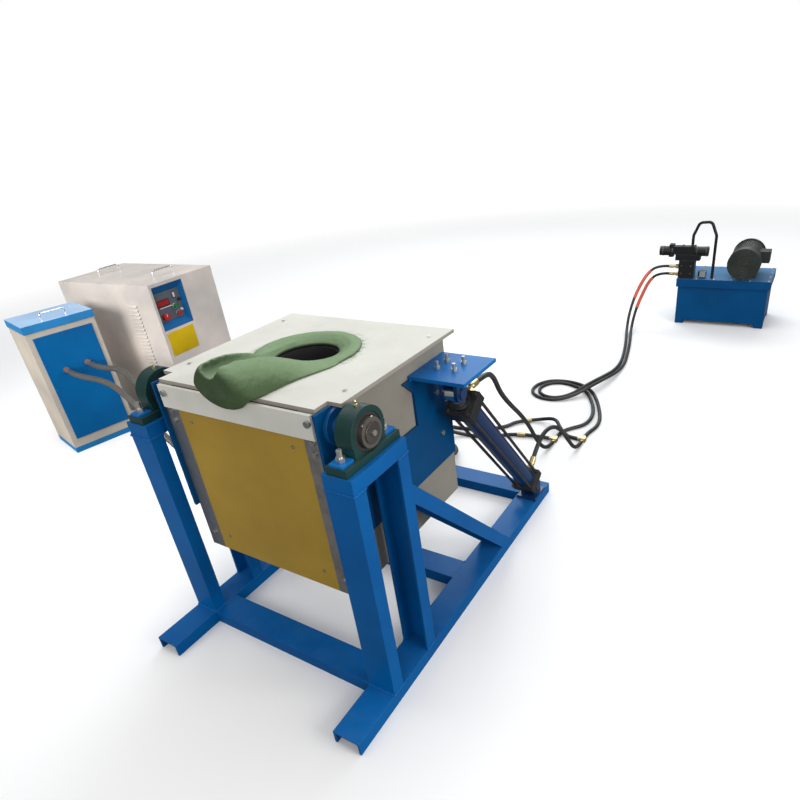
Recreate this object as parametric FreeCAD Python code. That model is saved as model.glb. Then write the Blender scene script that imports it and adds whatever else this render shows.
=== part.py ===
import FreeCAD, Part
import math
import os

os.makedirs("parts", exist_ok=True)

# Tilting induction melting furnace on its stand, with its hydraulic unit and power units.
# Millimetres. X points to the furnace's right, -Y to the pouring side, +Z up.
# The origin is on the floor, on the furnace's centre line, in the front flange of the
# stand's front cross member.

# Rolled channel that the stand is welded from
CHANNEL_WIDTH = 100.0
CHANNEL_DEPTH = 48.0
CHANNEL_WEB = 6.0
CHANNEL_FLANGE = 8.0

# Stand
STAND_WIDTH = 932.0
STAND_DEPTH = 245.0
STAND_HEIGHT = 848.0
STAND_FRONT = -CHANNEL_FLANGE / 2
RAIL_FRONT = -189.0
RAIL_LENGTH = 1472.0
MIDDLE_MEMBER_Y = 585.0
REAR_MEMBER_SETBACK = 26.0
BRACE_ANGLE = 47.0
BRACE_FOOT_Y = 840.0

# Pillow block bearings and trunnions
SHAFT_RADIUS = 30.0
BEARING_HEIGHT = 76.0
BEARING_FOOT_LENGTH = 236.0
BEARING_FOOT_WIDTH = 70.0
BEARING_FOOT_THICK = 24.0
BEARING_BOLT_SPACING = 184.0
BEARING_BODY_RADIUS = 71.0
BEARING_BODY_WIDTH = 54.0
BEARING_NECK = 66.0
BEARING_NECK_DROP = 24.0
BEARING_BOLT_PROUD = 34.0
SHAFT_PROUD = 4.0
RACE_OUTER_RADIUS = 55.0
RACE_GAP_RADIUS = 42.0
RACE_WIDTH = 40.0
INNER_RING_WIDTH = 65.0
INNER_RING_OFFSET = 7.0
RUNNING_GAP = 0.05
BEARING_BOLT_RADIUS = 8.0
PAD_SIZE = 46.0
PAD_THICK = 8.0
HUB_RADIUS = 54.0
HUB_THICK = 12.0

# Furnace body. Its heights are set out from the top of the stand, which carries it
BODY_HALF_WIDTH = 326.5
BODY_FRONT = 60.0
BODY_REAR = 703.0
BODY_BOTTOM = STAND_HEIGHT - 498.0
BOARD_THICK = 10.0
BOTTOM_THICK = 16.0
FRONT_PANEL_HALF_WIDTH = 262.0
FRONT_PANEL_THICK = 6.0
LID_TOP = STAND_HEIGHT + 144.0
LID_THICK = 12.0
LID_HALF_WIDTH = 367.5
LID_FRONT = 66.0
LID_REAR = 713.0
LID_NOTCH_X = 320.0
LID_NOTCH_Y = 119.0
APRON_HALF_WIDTH = 314.0
APRON_BOTTOM = STAND_HEIGHT + 56.0
APRON_THICK = 10.0

# Side plates and lifting brackets
PLATE_THICK = 10.0
PLATE_FRONT = 46.0
PLATE_REAR = 697.0
PLATE_BOTTOM = STAND_HEIGHT - 324.0
PLATE_HUB_TOP = STAND_HEIGHT + 136.0
PLATE_HUB_FLAT_Y = 108.0
PLATE_HUB_SLOPE_Y = 232.0
PLATE_HUB_SLOPE_Z = STAND_HEIGHT + 77.0
CUTOUT_FRONT_Y = 232.0
CUTOUT_REAR_Y = 486.0
CUTOUT_BOTTOM = STAND_HEIGHT - 113.0
UPRIGHT_TOP_Y = 436.0
UPRIGHT_CHAMFER_Z = STAND_HEIGHT + 4.0
BRACKET_TOP = STAND_HEIGHT + 67.0
BRACKET_THICK = 12.0
BRACKET_FRONT = 474.0
BRACKET_REAR = 690.0
BRACKET_OUTER_X = 530.0

# Crucible, lining and coil
CRUCIBLE_Y = 390.0
CRUCIBLE_RADIUS = 100.0
CRUCIBLE_WALL = 25.0
CRUCIBLE_TOP = STAND_HEIGHT + 124.0
CRUCIBLE_FLOOR = STAND_HEIGHT - 358.0
CRUCIBLE_CORNER = 24.0
LINING_GAP = 0.5
COIL_RADIUS = 168.0
COIL_TUBE_RADIUS = 8.0
COIL_TURNS = 12
COIL_PITCH = 36.0
COIL_BOTTOM = STAND_HEIGHT - 393.0
COLUMN_WIDTH = 44.0
COLUMN_DEPTH = 34.0
COLUMN_GROOVE = 6.0
COLUMN_ANGLES = (60, 120, 240, 300)
LINING_TO_COIL = 1.0
TAIL_END_Y = 770.0
TAIL_SPACING = 108.0
TAIL_BEND = 40.0
TAIL_HOLE_GAP = 3.0
TAIL_DROP_Y = 640.0
TERMINAL_RADIUS = 18.0
TERMINAL_LENGTH = 12.0

# Pouring spout and collar of rammed refractory
COLLAR_RADIUS = 188.0
COLLAR_HEIGHT = 13.0
SPOUT_BORE_RADIUS = 104.0
BORE_EDGE_DROP = 10.0
FUNNEL_TOP_RADIUS = 240.0
SPOUT_LIP_X = 12.0
SPOUT_CREST_RISE = 108.0
APRON_FACE = BODY_FRONT - APRON_THICK
# Collar: inward from its rim, rise above the lid
COLLAR_PROFILE = [(0.0, 0.0), (9.0, 8.0), (22.0, COLLAR_HEIGHT - 1), (40.0, COLLAR_HEIGHT)]
COLLAR_INNER_RISE = 4.0
COLLAR_SLOPE_WIDTH = 22.0
# Dome sections on the lid: y, middle x, half width, rise above the lid
SPOUT_ON_LID = [
    (CRUCIBLE_Y + 60, 0.0, COLLAR_RADIUS - 20, 9.0), (CRUCIBLE_Y - 40, 6.0, COLLAR_RADIUS + 10, 14.0),
    (CRUCIBLE_Y - 150, 4.0, 158.0, 56.0), (APRON_FACE + 80, 7.0, 126.0, 98.0),
    (APRON_FACE, SPOUT_LIP_X, 108.0, SPOUT_CREST_RISE)]
# Round sections of the nose: y, half width, rise of bottom, waist and top
SPOUT_NOSE = [
    (APRON_FACE, 108.0, -42.0, 16.0, SPOUT_CREST_RISE),
    (APRON_FACE - 24, 96.0, -30.0, 30.0, SPOUT_CREST_RISE),
    (8.0, 62.0, 6.0, 54.0, SPOUT_CREST_RISE - 14)]
# Trough: a tapering channel from the bore to the lip
TROUGH_START_RADIUS = 74.0
TROUGH_END_RADIUS = 30.0
TROUGH_START_RISE = 4.0
TROUGH_END_RISE = 74.0
TROUGH_END_Y = -12.0

# Tilting cylinders
CYLINDER_X = 420.0
CYLINDER_BASE_Y = 1175.0
CYLINDER_BASE_Z = 95.0
ROD_PIVOT_Y = 587.0
ROD_PIVOT_Z = STAND_HEIGHT - 26.0
BARREL_RADIUS = 40.0
BARREL_BORE = 31.5
CAP_SIZE = 2.5 * BARREL_RADIUS
BASE_CAP_START = 45.0
BASE_CAP_LENGTH = 45.0
HEAD_CAP_LENGTH = 50.0
HEAD_CAP_SETBACK = 75.0
ROD_RADIUS = 20.0
PISTON_LENGTH = 40.0
PISTON_SETBACK = 4.0
PISTON_GAP = 0.1
PIN_RADIUS = 15.0
EYE_RADIUS = 28.0
EYE_WIDTH = 36.0
FORK_GAP = 40.0
EAR_THICK = 14.0
EAR_MARGIN = 4.0
PIN_HEAD_WALL = 5.0
PIN_HEAD_HEIGHT = 6.0
BRACKET_FOOT_HALF = 45.0
BRACKET_FOOT_MARGIN = 24.0
BRACKET_FOOT_THICK = 12.0
TIE_ROD_RADIUS = 6.0
TIE_ROD_SPACING = 2 * BARREL_RADIUS - 4
TIE_NUT_FLATS = 18.0
TIE_NUT_HEIGHT = 10.0
TIE_ROD_PROUD = 5.0
GLAND_WALL = 14.0
GLAND_HEIGHT = 12.0
BASE_FITTING_LENGTH = 60.0
ELBOW_RISE = 28.0
ELBOW_REACH = 34.0
CLEVIS_PLATE = 90.0
CLEVIS_PLATE_THICK = 14.0
CLEVIS_BOLT_SPACING = 62.0
CLEVIS_HOLE_RADIUS = 7.0

# Hoses and leads
HOSE_RADIUS = 10.0
LEAD_RADIUS = 16.0

# Capacitor box
BOX_CORNER = (-2341.0, 578.0)
BOX_TURN = -12.0
BOX_WIDTH = 375.0
BOX_DEPTH = 335.0
BOX_HEIGHT = 776.0
BOX_LID_THICK = 30.0
BOX_BASE_HEIGHT = 34.0
SHEET = 2.0

# Power cabinet
CABINET_CORNER = (-1963.0, 1152.0)
CABINET_TURN = 3.4
CABINET_WIDTH = 488.0
CABINET_DEPTH = 872.0
CABINET_HEIGHT = 900.0

# Hydraulic unit
TANK_X = 495.0
TANK_Y = 3793.0
TANK_WIDTH = 635.0
TANK_DEPTH = 395.0
TANK_TOP = 346.0
TANK_RIM = 60.0
TANK_LEG = 30.0
MOTOR_X = 940.0
MOTOR_Z = TANK_TOP + 124.0
MOTOR_RADIUS = 108.0
MOTOR_FRONT = 3768.0
MOTOR_LENGTH = 330.0


def vec(x, y, z):
    return FreeCAD.Vector(x, y, z)


def box(x0, x1, y0, y1, z0, z1):
    return Part.makeBox(x1 - x0, y1 - y0, z1 - z0, vec(x0, y0, z0))


def rod(radius, start, end):
    run = end - start
    return Part.makeCylinder(radius, run.Length, start, run)


def tube(outer, inner, start, end):
    run = end - start
    past = run * (1.0 / run.Length)
    return rod(outer, start, end).cut(rod(inner, start - past, end + past))


def hexagon(across_flats, start, end):
    run = end - start
    corner = across_flats / math.sqrt(3)
    points = []
    for step in range(7):
        turn = math.radians(60 * step)
        points.append(vec(corner * math.cos(turn), corner * math.sin(turn), 0))
    nut = Part.Face(Part.makePolygon(points)).extrude(vec(0, 0, run.Length))
    nut.Placement = FreeCAD.Placement(start, FreeCAD.Rotation(vec(0, 0, 1), run))
    return nut


def plate_yz(points, x0, x1):
    corners = [vec(x0, y, z) for y, z in points]
    outline = Part.makePolygon(corners + corners[:1])
    return Part.Face(outline).extrude(vec(x1 - x0, 0, 0))


def mirrored(shape):
    return shape.mirror(vec(0, 0, 0), vec(1, 0, 0))


def both_sides(shapes):
    return shapes + [mirrored(shape) for shape in shapes]


def turned_about_z(shape, corner, degrees):
    copy = shape.copy()
    turn = FreeCAD.Rotation(vec(0, 0, 1), degrees)
    copy.Placement = FreeCAD.Placement(vec(corner[0], corner[1], 0), turn).multiply(copy.Placement)
    return copy


def save(node, solids):
    shape = solids[0] if len(solids) == 1 else Part.makeCompound(solids)
    shape.exportStep("parts/" + node + ".step")


# Stand

POST_X = STAND_WIDTH / 2 - CHANNEL_WIDTH / 2
INNER_X = STAND_WIDTH / 2 - CHANNEL_WIDTH
STAND_REAR = STAND_FRONT + STAND_DEPTH
STAND_MIDDLE = STAND_FRONT + STAND_DEPTH / 2
RAIL_REAR = RAIL_FRONT + RAIL_LENGTH
RAIL_TOP = CHANNEL_DEPTH


def channel(length, start, along, outward):
    half = CHANNEL_WIDTH / 2
    solid = box(0, length, -half, half, -CHANNEL_DEPTH, 0)
    inside = half - CHANNEL_FLANGE
    solid = solid.cut(box(-1, length + 1, -inside, inside, -CHANNEL_DEPTH - 1, -CHANNEL_WEB))
    across = outward.cross(along)
    matrix = FreeCAD.Matrix(
        along.x, across.x, outward.x, start.x,
        along.y, across.y, outward.y, start.y,
        along.z, across.z, outward.z, start.z,
        0, 0, 0, 1)
    solid.Placement = FreeCAD.Placement(matrix)
    return solid


def base_rails():
    start = vec(POST_X, RAIL_FRONT, RAIL_TOP)
    return both_sides([channel(RAIL_LENGTH, start, vec(0, 1, 0), vec(0, 0, 1))])


def cross_members():
    half = CHANNEL_WIDTH / 2
    middles = [STAND_FRONT + half, MIDDLE_MEMBER_Y, RAIL_REAR - REAR_MEMBER_SETBACK - half]
    members = []
    for y in middles:
        start = vec(-INNER_X, y, RAIL_TOP)
        members.append(channel(2 * INNER_X, start, vec(1, 0, 0), vec(0, 0, 1)))
    return members


def stand_posts():
    foot = RAIL_TOP
    length = STAND_HEIGHT - CHANNEL_DEPTH - foot
    front = channel(length, vec(POST_X, STAND_FRONT, foot), vec(0, 0, 1), vec(0, -1, 0))
    rear = channel(length, vec(POST_X, STAND_REAR, foot), vec(0, 0, 1), vec(0, 1, 0))
    inside = CHANNEL_WIDTH / 2 - CHANNEL_FLANGE
    under_web = STAND_HEIGHT - CHANNEL_WEB
    tongue_bottom = STAND_HEIGHT - CHANNEL_DEPTH
    for y0 in (STAND_FRONT, STAND_REAR - CHANNEL_WEB):
        tongue = box(POST_X - inside, POST_X + inside, y0, y0 + CHANNEL_WEB, tongue_bottom, under_web)
        if y0 == STAND_FRONT:
            front = front.fuse(tongue).removeSplitter()
        else:
            rear = rear.fuse(tongue).removeSplitter()
    return both_sides([front, rear])


def stand_beams():
    start = vec(POST_X, STAND_FRONT, STAND_HEIGHT)
    beam = channel(STAND_DEPTH, start, vec(0, 1, 0), vec(0, 0, 1))
    for y in bearing_bolt_places():
        beam = beam.cut(rod(BEARING_BOLT_RADIUS + 1, vec(POST_X, y, 0), vec(POST_X, y, STAND_HEIGHT + 1)))
    return both_sides([beam])


def stand_braces():
    slope = math.radians(BRACE_ANGLE)
    along = vec(0, -math.cos(slope), math.sin(slope))
    outward = vec(0, math.sin(slope), math.cos(slope))
    run = (BRACE_FOOT_Y - STAND_REAR) / math.cos(slope)
    start = vec(POST_X, BRACE_FOOT_Y, RAIL_TOP) - along * CHANNEL_WIDTH
    brace = channel(run + 2 * CHANNEL_WIDTH, start, along, outward)
    space = box(0, STAND_WIDTH, STAND_REAR, RAIL_REAR, RAIL_TOP, STAND_HEIGHT)
    return both_sides([brace.common(space)])


# Pillow blocks

AXIS_Y = STAND_MIDDLE
AXIS_Z = STAND_HEIGHT + BEARING_HEIGHT


def bearing_bolt_places():
    half = BEARING_BOLT_SPACING / 2
    return (STAND_MIDDLE - half, STAND_MIDDLE + half)


def along_x(y, z, x0, x1):
    return vec(x0, y, z), vec(x1, y, z)


def bearing_housings():
    half_width = BEARING_FOOT_WIDTH / 2
    half_length = BEARING_FOOT_LENGTH / 2
    half_body = BEARING_BODY_WIDTH / 2
    foot_top = STAND_HEIGHT + BEARING_FOOT_THICK
    foot = box(POST_X - half_width, POST_X + half_width, AXIS_Y - half_length, AXIS_Y + half_length,
               STAND_HEIGHT, foot_top)
    shoulder = [
        (AXIS_Y - BEARING_NECK, foot_top - 1),
        (AXIS_Y + BEARING_NECK, foot_top - 1),
        (AXIS_Y + BEARING_NECK, AXIS_Z - BEARING_NECK_DROP),
        (AXIS_Y - BEARING_NECK, AXIS_Z - BEARING_NECK_DROP)]
    neck = plate_yz(shoulder, POST_X - half_body, POST_X + half_body)
    head = rod(BEARING_BODY_RADIUS, *along_x(AXIS_Y, AXIS_Z, POST_X - half_body, POST_X + half_body))
    housing = foot.fuse(neck).fuse(head)
    bore = rod(RACE_OUTER_RADIUS, *along_x(AXIS_Y, AXIS_Z, POST_X - CHANNEL_WIDTH, POST_X + CHANNEL_WIDTH))
    housing = housing.cut(bore)
    for y in bearing_bolt_places():
        hole = rod(BEARING_BOLT_RADIUS + 2, vec(POST_X, y, STAND_HEIGHT - 1), vec(POST_X, y, foot_top + 1))
        housing = housing.cut(hole)
    return both_sides([housing.removeSplitter()])


def bearing_outer_rings():
    half = RACE_WIDTH / 2
    span = along_x(AXIS_Y, AXIS_Z, POST_X - half, POST_X + half)
    return both_sides([tube(RACE_OUTER_RADIUS - RUNNING_GAP, RACE_GAP_RADIUS, *span)])


def bearing_pads():
    half = PAD_SIZE / 2
    bottom = STAND_HEIGHT + BEARING_FOOT_THICK
    pads = []
    for y in bearing_bolt_places():
        pad = box(POST_X - half, POST_X + half, y - half, y + half, bottom, bottom + PAD_THICK)
        hole = rod(BEARING_BOLT_RADIUS + 1, vec(POST_X, y, bottom - 1), vec(POST_X, y, bottom + PAD_THICK + 1))
        pads.append(pad.cut(hole))
    return both_sides(pads)


def bolt_with_nut(x, y, grip_bottom, grip_top, radius, proud):
    flats = radius * 3.0
    head = radius * 1.3
    nut = radius * 1.6
    shank = rod(radius, vec(x, y, grip_bottom - 1), vec(x, y, grip_top + proud))
    lower = hexagon(flats, vec(x, y, grip_bottom - head), vec(x, y, grip_bottom))
    upper = hexagon(flats, vec(x, y, grip_top), vec(x, y, grip_top + nut))
    return lower.fuse(shank).fuse(upper)


def stud_with_nut(x, y, bottom, grip_top, radius, proud):
    shank = rod(radius, vec(x, y, bottom), vec(x, y, grip_top + proud))
    return shank.fuse(hexagon(radius * 3.0, vec(x, y, grip_top), vec(x, y, grip_top + radius * 1.6)))


def bearing_bolts():
    grip_top = STAND_HEIGHT + BEARING_FOOT_THICK + PAD_THICK
    grip_bottom = STAND_HEIGHT - CHANNEL_WEB
    bolts = []
    for y in bearing_bolt_places():
        bolts.append(bolt_with_nut(POST_X, y, grip_bottom, grip_top, BEARING_BOLT_RADIUS, BEARING_BOLT_PROUD))
    return both_sides(bolts)


# Trunnions and side plates

PLATE_OUTER_X = BODY_HALF_WIDTH + PLATE_THICK
RING_OUTER_X = POST_X + INNER_RING_WIDTH / 2 + INNER_RING_OFFSET


def trunnion_shafts():
    hub = rod(HUB_RADIUS, *along_x(AXIS_Y, AXIS_Z, PLATE_OUTER_X, PLATE_OUTER_X + HUB_THICK))
    shaft = rod(SHAFT_RADIUS, *along_x(AXIS_Y, AXIS_Z, PLATE_OUTER_X, RING_OUTER_X + SHAFT_PROUD))
    return both_sides([hub.fuse(shaft)])


def bearing_inner_rings():
    start = RING_OUTER_X - INNER_RING_WIDTH
    span = along_x(AXIS_Y, AXIS_Z, start, RING_OUTER_X)
    return both_sides([tube(RACE_GAP_RADIUS - RUNNING_GAP, SHAFT_RADIUS, *span)])


def side_plates():
    bracket_bottom = BRACKET_TOP - BRACKET_THICK
    outline = [
        (PLATE_FRONT, PLATE_BOTTOM),
        (PLATE_REAR, PLATE_BOTTOM),
        (PLATE_REAR, bracket_bottom),
        (UPRIGHT_TOP_Y, bracket_bottom),
        (CUTOUT_REAR_Y, UPRIGHT_CHAMFER_Z),
        (CUTOUT_REAR_Y, CUTOUT_BOTTOM),
        (CUTOUT_FRONT_Y, CUTOUT_BOTTOM),
        (PLATE_HUB_SLOPE_Y, PLATE_HUB_SLOPE_Z),
        (PLATE_HUB_FLAT_Y, PLATE_HUB_TOP),
        (PLATE_FRONT, PLATE_HUB_TOP)]
    return both_sides([plate_yz(outline, BODY_HALF_WIDTH, PLATE_OUTER_X)])


def clevis_bolt_places():
    half = CLEVIS_BOLT_SPACING / 2
    places = []
    for x in (CYLINDER_X - half, CYLINDER_X + half):
        for y in (ROD_PIVOT_Y - half, ROD_PIVOT_Y + half):
            places.append((x, y))
    return places


def lift_brackets():
    bottom = BRACKET_TOP - BRACKET_THICK
    plate = box(BODY_HALF_WIDTH, BRACKET_OUTER_X, BRACKET_FRONT, BRACKET_REAR, bottom, BRACKET_TOP)
    for x, y in clevis_bolt_places():
        plate = plate.cut(rod(CLEVIS_HOLE_RADIUS, vec(x, y, bottom - 1), vec(x, y, BRACKET_TOP + 1)))
    return both_sides([plate])


# Boards and panels of the furnace body

LID_BOTTOM = LID_TOP - LID_THICK
INSIDE_X = BODY_HALF_WIDTH - BOARD_THICK


def lid_board():
    lid = box(-LID_HALF_WIDTH, LID_HALF_WIDTH, LID_FRONT, LID_REAR, LID_BOTTOM, LID_TOP)
    notch = box(LID_NOTCH_X, LID_HALF_WIDTH + 1, LID_FRONT - 1, LID_NOTCH_Y, LID_BOTTOM - 1, LID_TOP + 1)
    lid = lid.cut(notch).cut(mirrored(notch))
    below = vec(0, CRUCIBLE_Y, LID_BOTTOM - 1)
    above = vec(0, CRUCIBLE_Y, LID_TOP + 1)
    hole = rod(CRUCIBLE_RADIUS + CRUCIBLE_WALL, below, above)
    return [lid.cut(hole)]


def front_apron():
    back = BODY_FRONT
    return [box(-APRON_HALF_WIDTH, APRON_HALF_WIDTH, back - APRON_THICK, back, APRON_BOTTOM, LID_BOTTOM)]


def front_panel():
    back = BODY_FRONT + FRONT_PANEL_THICK
    half = FRONT_PANEL_HALF_WIDTH
    return [box(-half, half, BODY_FRONT, back, BODY_BOTTOM, LID_BOTTOM)]


def corner_strips():
    back = BODY_FRONT + FRONT_PANEL_THICK
    strip = box(FRONT_PANEL_HALF_WIDTH, BODY_HALF_WIDTH, BODY_FRONT, back, BODY_BOTTOM, LID_BOTTOM)
    return both_sides([strip])


def tail_places():
    return [(-COIL_RADIUS, COIL_BOTTOM), (-COIL_RADIUS + TAIL_SPACING, COIL_BOTTOM)]


def body_panels():
    front = BODY_FRONT + FRONT_PANEL_THICK
    rear_face = BODY_REAR - BOARD_THICK
    right = box(INSIDE_X, BODY_HALF_WIDTH, front, BODY_REAR, BODY_BOTTOM, LID_BOTTOM)
    rear = box(-INSIDE_X, INSIDE_X, rear_face, BODY_REAR, BODY_BOTTOM, LID_BOTTOM)
    for x, z in tail_places():
        tail_hole = rod(COIL_TUBE_RADIUS + TAIL_HOLE_GAP, vec(x, rear_face - 1, z), vec(x, BODY_REAR + 1, z))
        rear = rear.cut(tail_hole)
    return [mirrored(right), right, rear]


def bottom_board():
    front = BODY_FRONT + FRONT_PANEL_THICK
    return [box(-INSIDE_X, INSIDE_X, front, BODY_REAR - BOARD_THICK, BODY_BOTTOM, BODY_BOTTOM + BOTTOM_THICK)]


# Heads of the screws and bolts: radius, height
LID_SCREW = (6.0, 3.0)
PANEL_SCREW = (5.0, 3.0)
APRON_BOLT = (10.0, 9.0)
STRIP_BOLT = (8.0, 7.0)
PLATE_BOLT = (9.0, 8.0)
SHAFT_SCREW = (8.0, 6.0)
CLEVIS_BOLT_RADIUS = 6.0
CLEVIS_BOLT_PROUD = 26.0

# Where they sit: insets from the edges of what they hold
LID_SCREW_X = LID_HALF_WIDTH - 42
LID_SCREW_ROWS = (LID_NOTCH_Y + 68, LID_REAR - 90)
PANEL_SCREW_X = FRONT_PANEL_HALF_WIDTH - 48
PANEL_SCREW_ROWS = (BODY_BOTTOM + 66, APRON_BOTTOM - 42)
APRON_BOLT_COLUMNS = (-APRON_HALF_WIDTH + 26, APRON_HALF_WIDTH - 10)
APRON_BOLT_ROW = APRON_BOTTOM + 52
STRIP_BOLT_ROWS = (APRON_BOTTOM - 14, APRON_BOTTOM - 48, BODY_BOTTOM + 60)
PLATE_BOLT_PLACES = [
    (610, STAND_HEIGHT - 48), (620, STAND_HEIGHT - 208), (150, STAND_HEIGHT - 208), (350, STAND_HEIGHT - 208)]


def head_on(size, way, x, y, z):
    radius, height = size
    place = vec(x, y, z)
    return rod(radius, place, place + way * height)


def furnace_fasteners():
    up = vec(0, 0, 1)
    forward = vec(0, -1, 0)
    outward = vec(1, 0, 0)
    strip_x = (FRONT_PANEL_HALF_WIDTH + BODY_HALF_WIDTH) / 2
    pieces = []
    for x in (-LID_SCREW_X, LID_SCREW_X):
        pieces.extend(head_on(LID_SCREW, up, x, y, LID_TOP) for y in LID_SCREW_ROWS)
    for x in (-PANEL_SCREW_X, PANEL_SCREW_X):
        pieces.extend(head_on(PANEL_SCREW, forward, x, BODY_FRONT, z) for z in PANEL_SCREW_ROWS)
    for x in APRON_BOLT_COLUMNS:
        pieces.append(head_on(APRON_BOLT, forward, x, BODY_FRONT - APRON_THICK, APRON_BOLT_ROW))
    for x in (-strip_x, strip_x):
        pieces.extend(head_on(STRIP_BOLT, forward, x, BODY_FRONT, z) for z in STRIP_BOLT_ROWS)
    on_one_side = [head_on(SHAFT_SCREW, outward, RING_OUTER_X + SHAFT_PROUD, AXIS_Y, AXIS_Z)]
    for y, z in PLATE_BOLT_PLACES:
        on_one_side.append(head_on(PLATE_BOLT, outward, PLATE_OUTER_X, y, z))
    under = BRACKET_TOP - BRACKET_THICK - CLEVIS_PLATE_THICK + 1
    for x, y in clevis_bolt_places():
        stud = stud_with_nut(x, y, under, BRACKET_TOP, CLEVIS_BOLT_RADIUS, CLEVIS_BOLT_PROUD)
        on_one_side.append(stud)
    return pieces + both_sides(on_one_side)


# Crucible, lining, coil and its columns

def turned(points):
    corners = [vec(r, CRUCIBLE_Y, z) for r, z in points]
    face = Part.Face(Part.makePolygon(corners + corners[:1]))
    return face.revolve(vec(0, CRUCIBLE_Y, 0), vec(0, 0, 1), 360)


def crucible():
    outer = CRUCIBLE_RADIUS + CRUCIBLE_WALL
    bottom = CRUCIBLE_FLOOR - CRUCIBLE_WALL
    corner = CRUCIBLE_CORNER
    profile = [
        (0, bottom), (outer - corner, bottom), (outer, bottom + corner), (outer, CRUCIBLE_TOP),
        (CRUCIBLE_RADIUS, CRUCIBLE_TOP), (CRUCIBLE_RADIUS, CRUCIBLE_FLOOR + corner),
        (CRUCIBLE_RADIUS - corner, CRUCIBLE_FLOOR), (0, CRUCIBLE_FLOOR)]
    return [turned(profile)]


def lining():
    inner = CRUCIBLE_RADIUS + CRUCIBLE_WALL + LINING_GAP
    outer = COIL_RADIUS - COIL_TUBE_RADIUS - LINING_TO_COIL
    bottom = BODY_BOTTOM + BOTTOM_THICK
    seat = CRUCIBLE_FLOOR - CRUCIBLE_WALL
    outside = [(0, bottom), (outer, bottom), (outer, LID_BOTTOM)]
    inside = [(inner, LID_BOTTOM), (inner, seat), (0, seat)]
    profile = outside + inside
    return [turned(profile)]


def arc_from_tangent(start, tangent, end):
    chord = end - start
    across = chord - tangent * chord.dot(tangent)
    if across.Length < 1e-6:
        return Part.LineSegment(start, end).toShape()
    across.normalize()
    radius = chord.dot(chord) / (2 * chord.dot(across))
    centre = start + across * radius
    middle = (start + end) * 0.5 - centre
    middle.normalize()
    return Part.Arc(start, centre + middle * radius, end).toShape()


def two_arcs(start, start_way, end, end_way):
    chord = end - start
    ways = start_way + end_way
    turn = 2 * (1 - start_way.dot(end_way))
    along = chord.dot(ways)
    reach = (-along + math.sqrt(along * along + turn * chord.dot(chord))) / turn
    joint = (start + end + (start_way - end_way) * reach) * 0.5
    first = arc_from_tangent(start, start_way, joint)
    backwards = arc_from_tangent(end, end_way * -1, joint)
    return [first, backwards]


def helix_place(turn):
    angle = 2 * math.pi * turn + math.pi
    height = COIL_BOTTOM + COIL_PITCH * turn
    return vec(COIL_RADIUS * math.cos(angle), CRUCIBLE_Y + COIL_RADIUS * math.sin(angle), height)


def helix_way(turn):
    angle = 2 * math.pi * turn + math.pi
    around = 2 * math.pi * COIL_RADIUS
    way = vec(-around * math.sin(angle), around * math.cos(angle), COIL_PITCH)
    way.normalize()
    return way


def route_edges(points, radius=None):
    runs = [points[i + 1] - points[i] for i in range(len(points) - 1)]
    edges = []
    radii = []
    place = points[0]
    for i in range(1, len(points) - 1):
        before = runs[i - 1] * (1.0 / runs[i - 1].Length)
        after = runs[i] * (1.0 / runs[i].Length)
        half_turn = before.getAngle(after) / 2
        shorter = min(runs[i - 1].Length, runs[i].Length)
        bend = radius if radius else 0.45 * shorter / math.tan(half_turn)
        setback = bend * math.tan(half_turn)
        start = points[i] - before * setback
        end = points[i] + after * setback
        inward = after - before
        inward.normalize()
        middle = points[i] + inward * (bend / math.cos(half_turn) - bend)
        edges.append(Part.LineSegment(place, start).toShape())
        edges.append(Part.Arc(start, middle, end).toShape())
        radii.append(bend)
        place = end
    edges.append(Part.LineSegment(place, points[-1]).toShape())
    return edges, radii


def swept_tube(edges, radius):
    path = Part.Wire(edges)
    start = edges[0].Vertexes[0].Point
    way = edges[0].tangentAt(edges[0].FirstParameter)
    ring = Part.Wire([Part.Circle(start, way, radius).toShape()])
    return path.makePipeShell([ring], True, False), path.Length


def report_tube(name, solid, length, radius, radii):
    ratio = solid.Volume / (math.pi * radius * radius * length)
    tight = [f"{bend:.0f}" for bend in radii if bend < 10 * radius]
    print(f"{name}: length {length:.0f}, least bend {min(radii):.0f}, volume ratio {ratio:.4f}, tight {tight}")


def free_cord(name, places, radius):
    edges, radii = route_edges([vec(*place) for place in places])
    solid, length = swept_tube(edges, radius)
    report_tube(name, solid, length, radius, radii)
    return [solid]


def induction_coil():
    first_x, tail_z = tail_places()[0]
    second_x = tail_places()[1][0]
    coil_end = helix_place(COIL_TURNS + 0.5)
    out = [
        coil_end,
        vec(coil_end.x, TAIL_DROP_Y, coil_end.z),
        vec(coil_end.x, TAIL_DROP_Y, tail_z),
        vec(second_x, TAIL_DROP_Y, tail_z),
        vec(second_x, TAIL_END_Y, tail_z)]
    edges = [Part.LineSegment(vec(first_x, TAIL_END_Y, tail_z), helix_place(0)).toShape()]
    halves = 2 * COIL_TURNS + 1
    places = [helix_place(i / 2) for i in range(halves + 1)]
    ways = [helix_way(i / 2) for i in range(halves + 1)]
    ways[0] = vec(0, -1, 0)
    ways[-1] = vec(0, 1, 0)
    for i in range(halves):
        edges.extend(two_arcs(places[i], ways[i], places[i + 1], ways[i + 1]))
    edges.extend(route_edges(out, TAIL_BEND)[0])
    solid, length = swept_tube(edges, COIL_TUBE_RADIUS)
    report_tube("induction_coil", solid, length, COIL_TUBE_RADIUS, [TAIL_BEND])
    print(f"induction_coil: gap between turns {COIL_PITCH - 2 * COIL_TUBE_RADIUS:.1f}")
    for x, z in tail_places():
        terminal = rod(TERMINAL_RADIUS, vec(x, TAIL_END_Y - TERMINAL_LENGTH, z), vec(x, TAIL_END_Y, z))
        solid = solid.fuse(terminal)
    return [solid]


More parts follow.
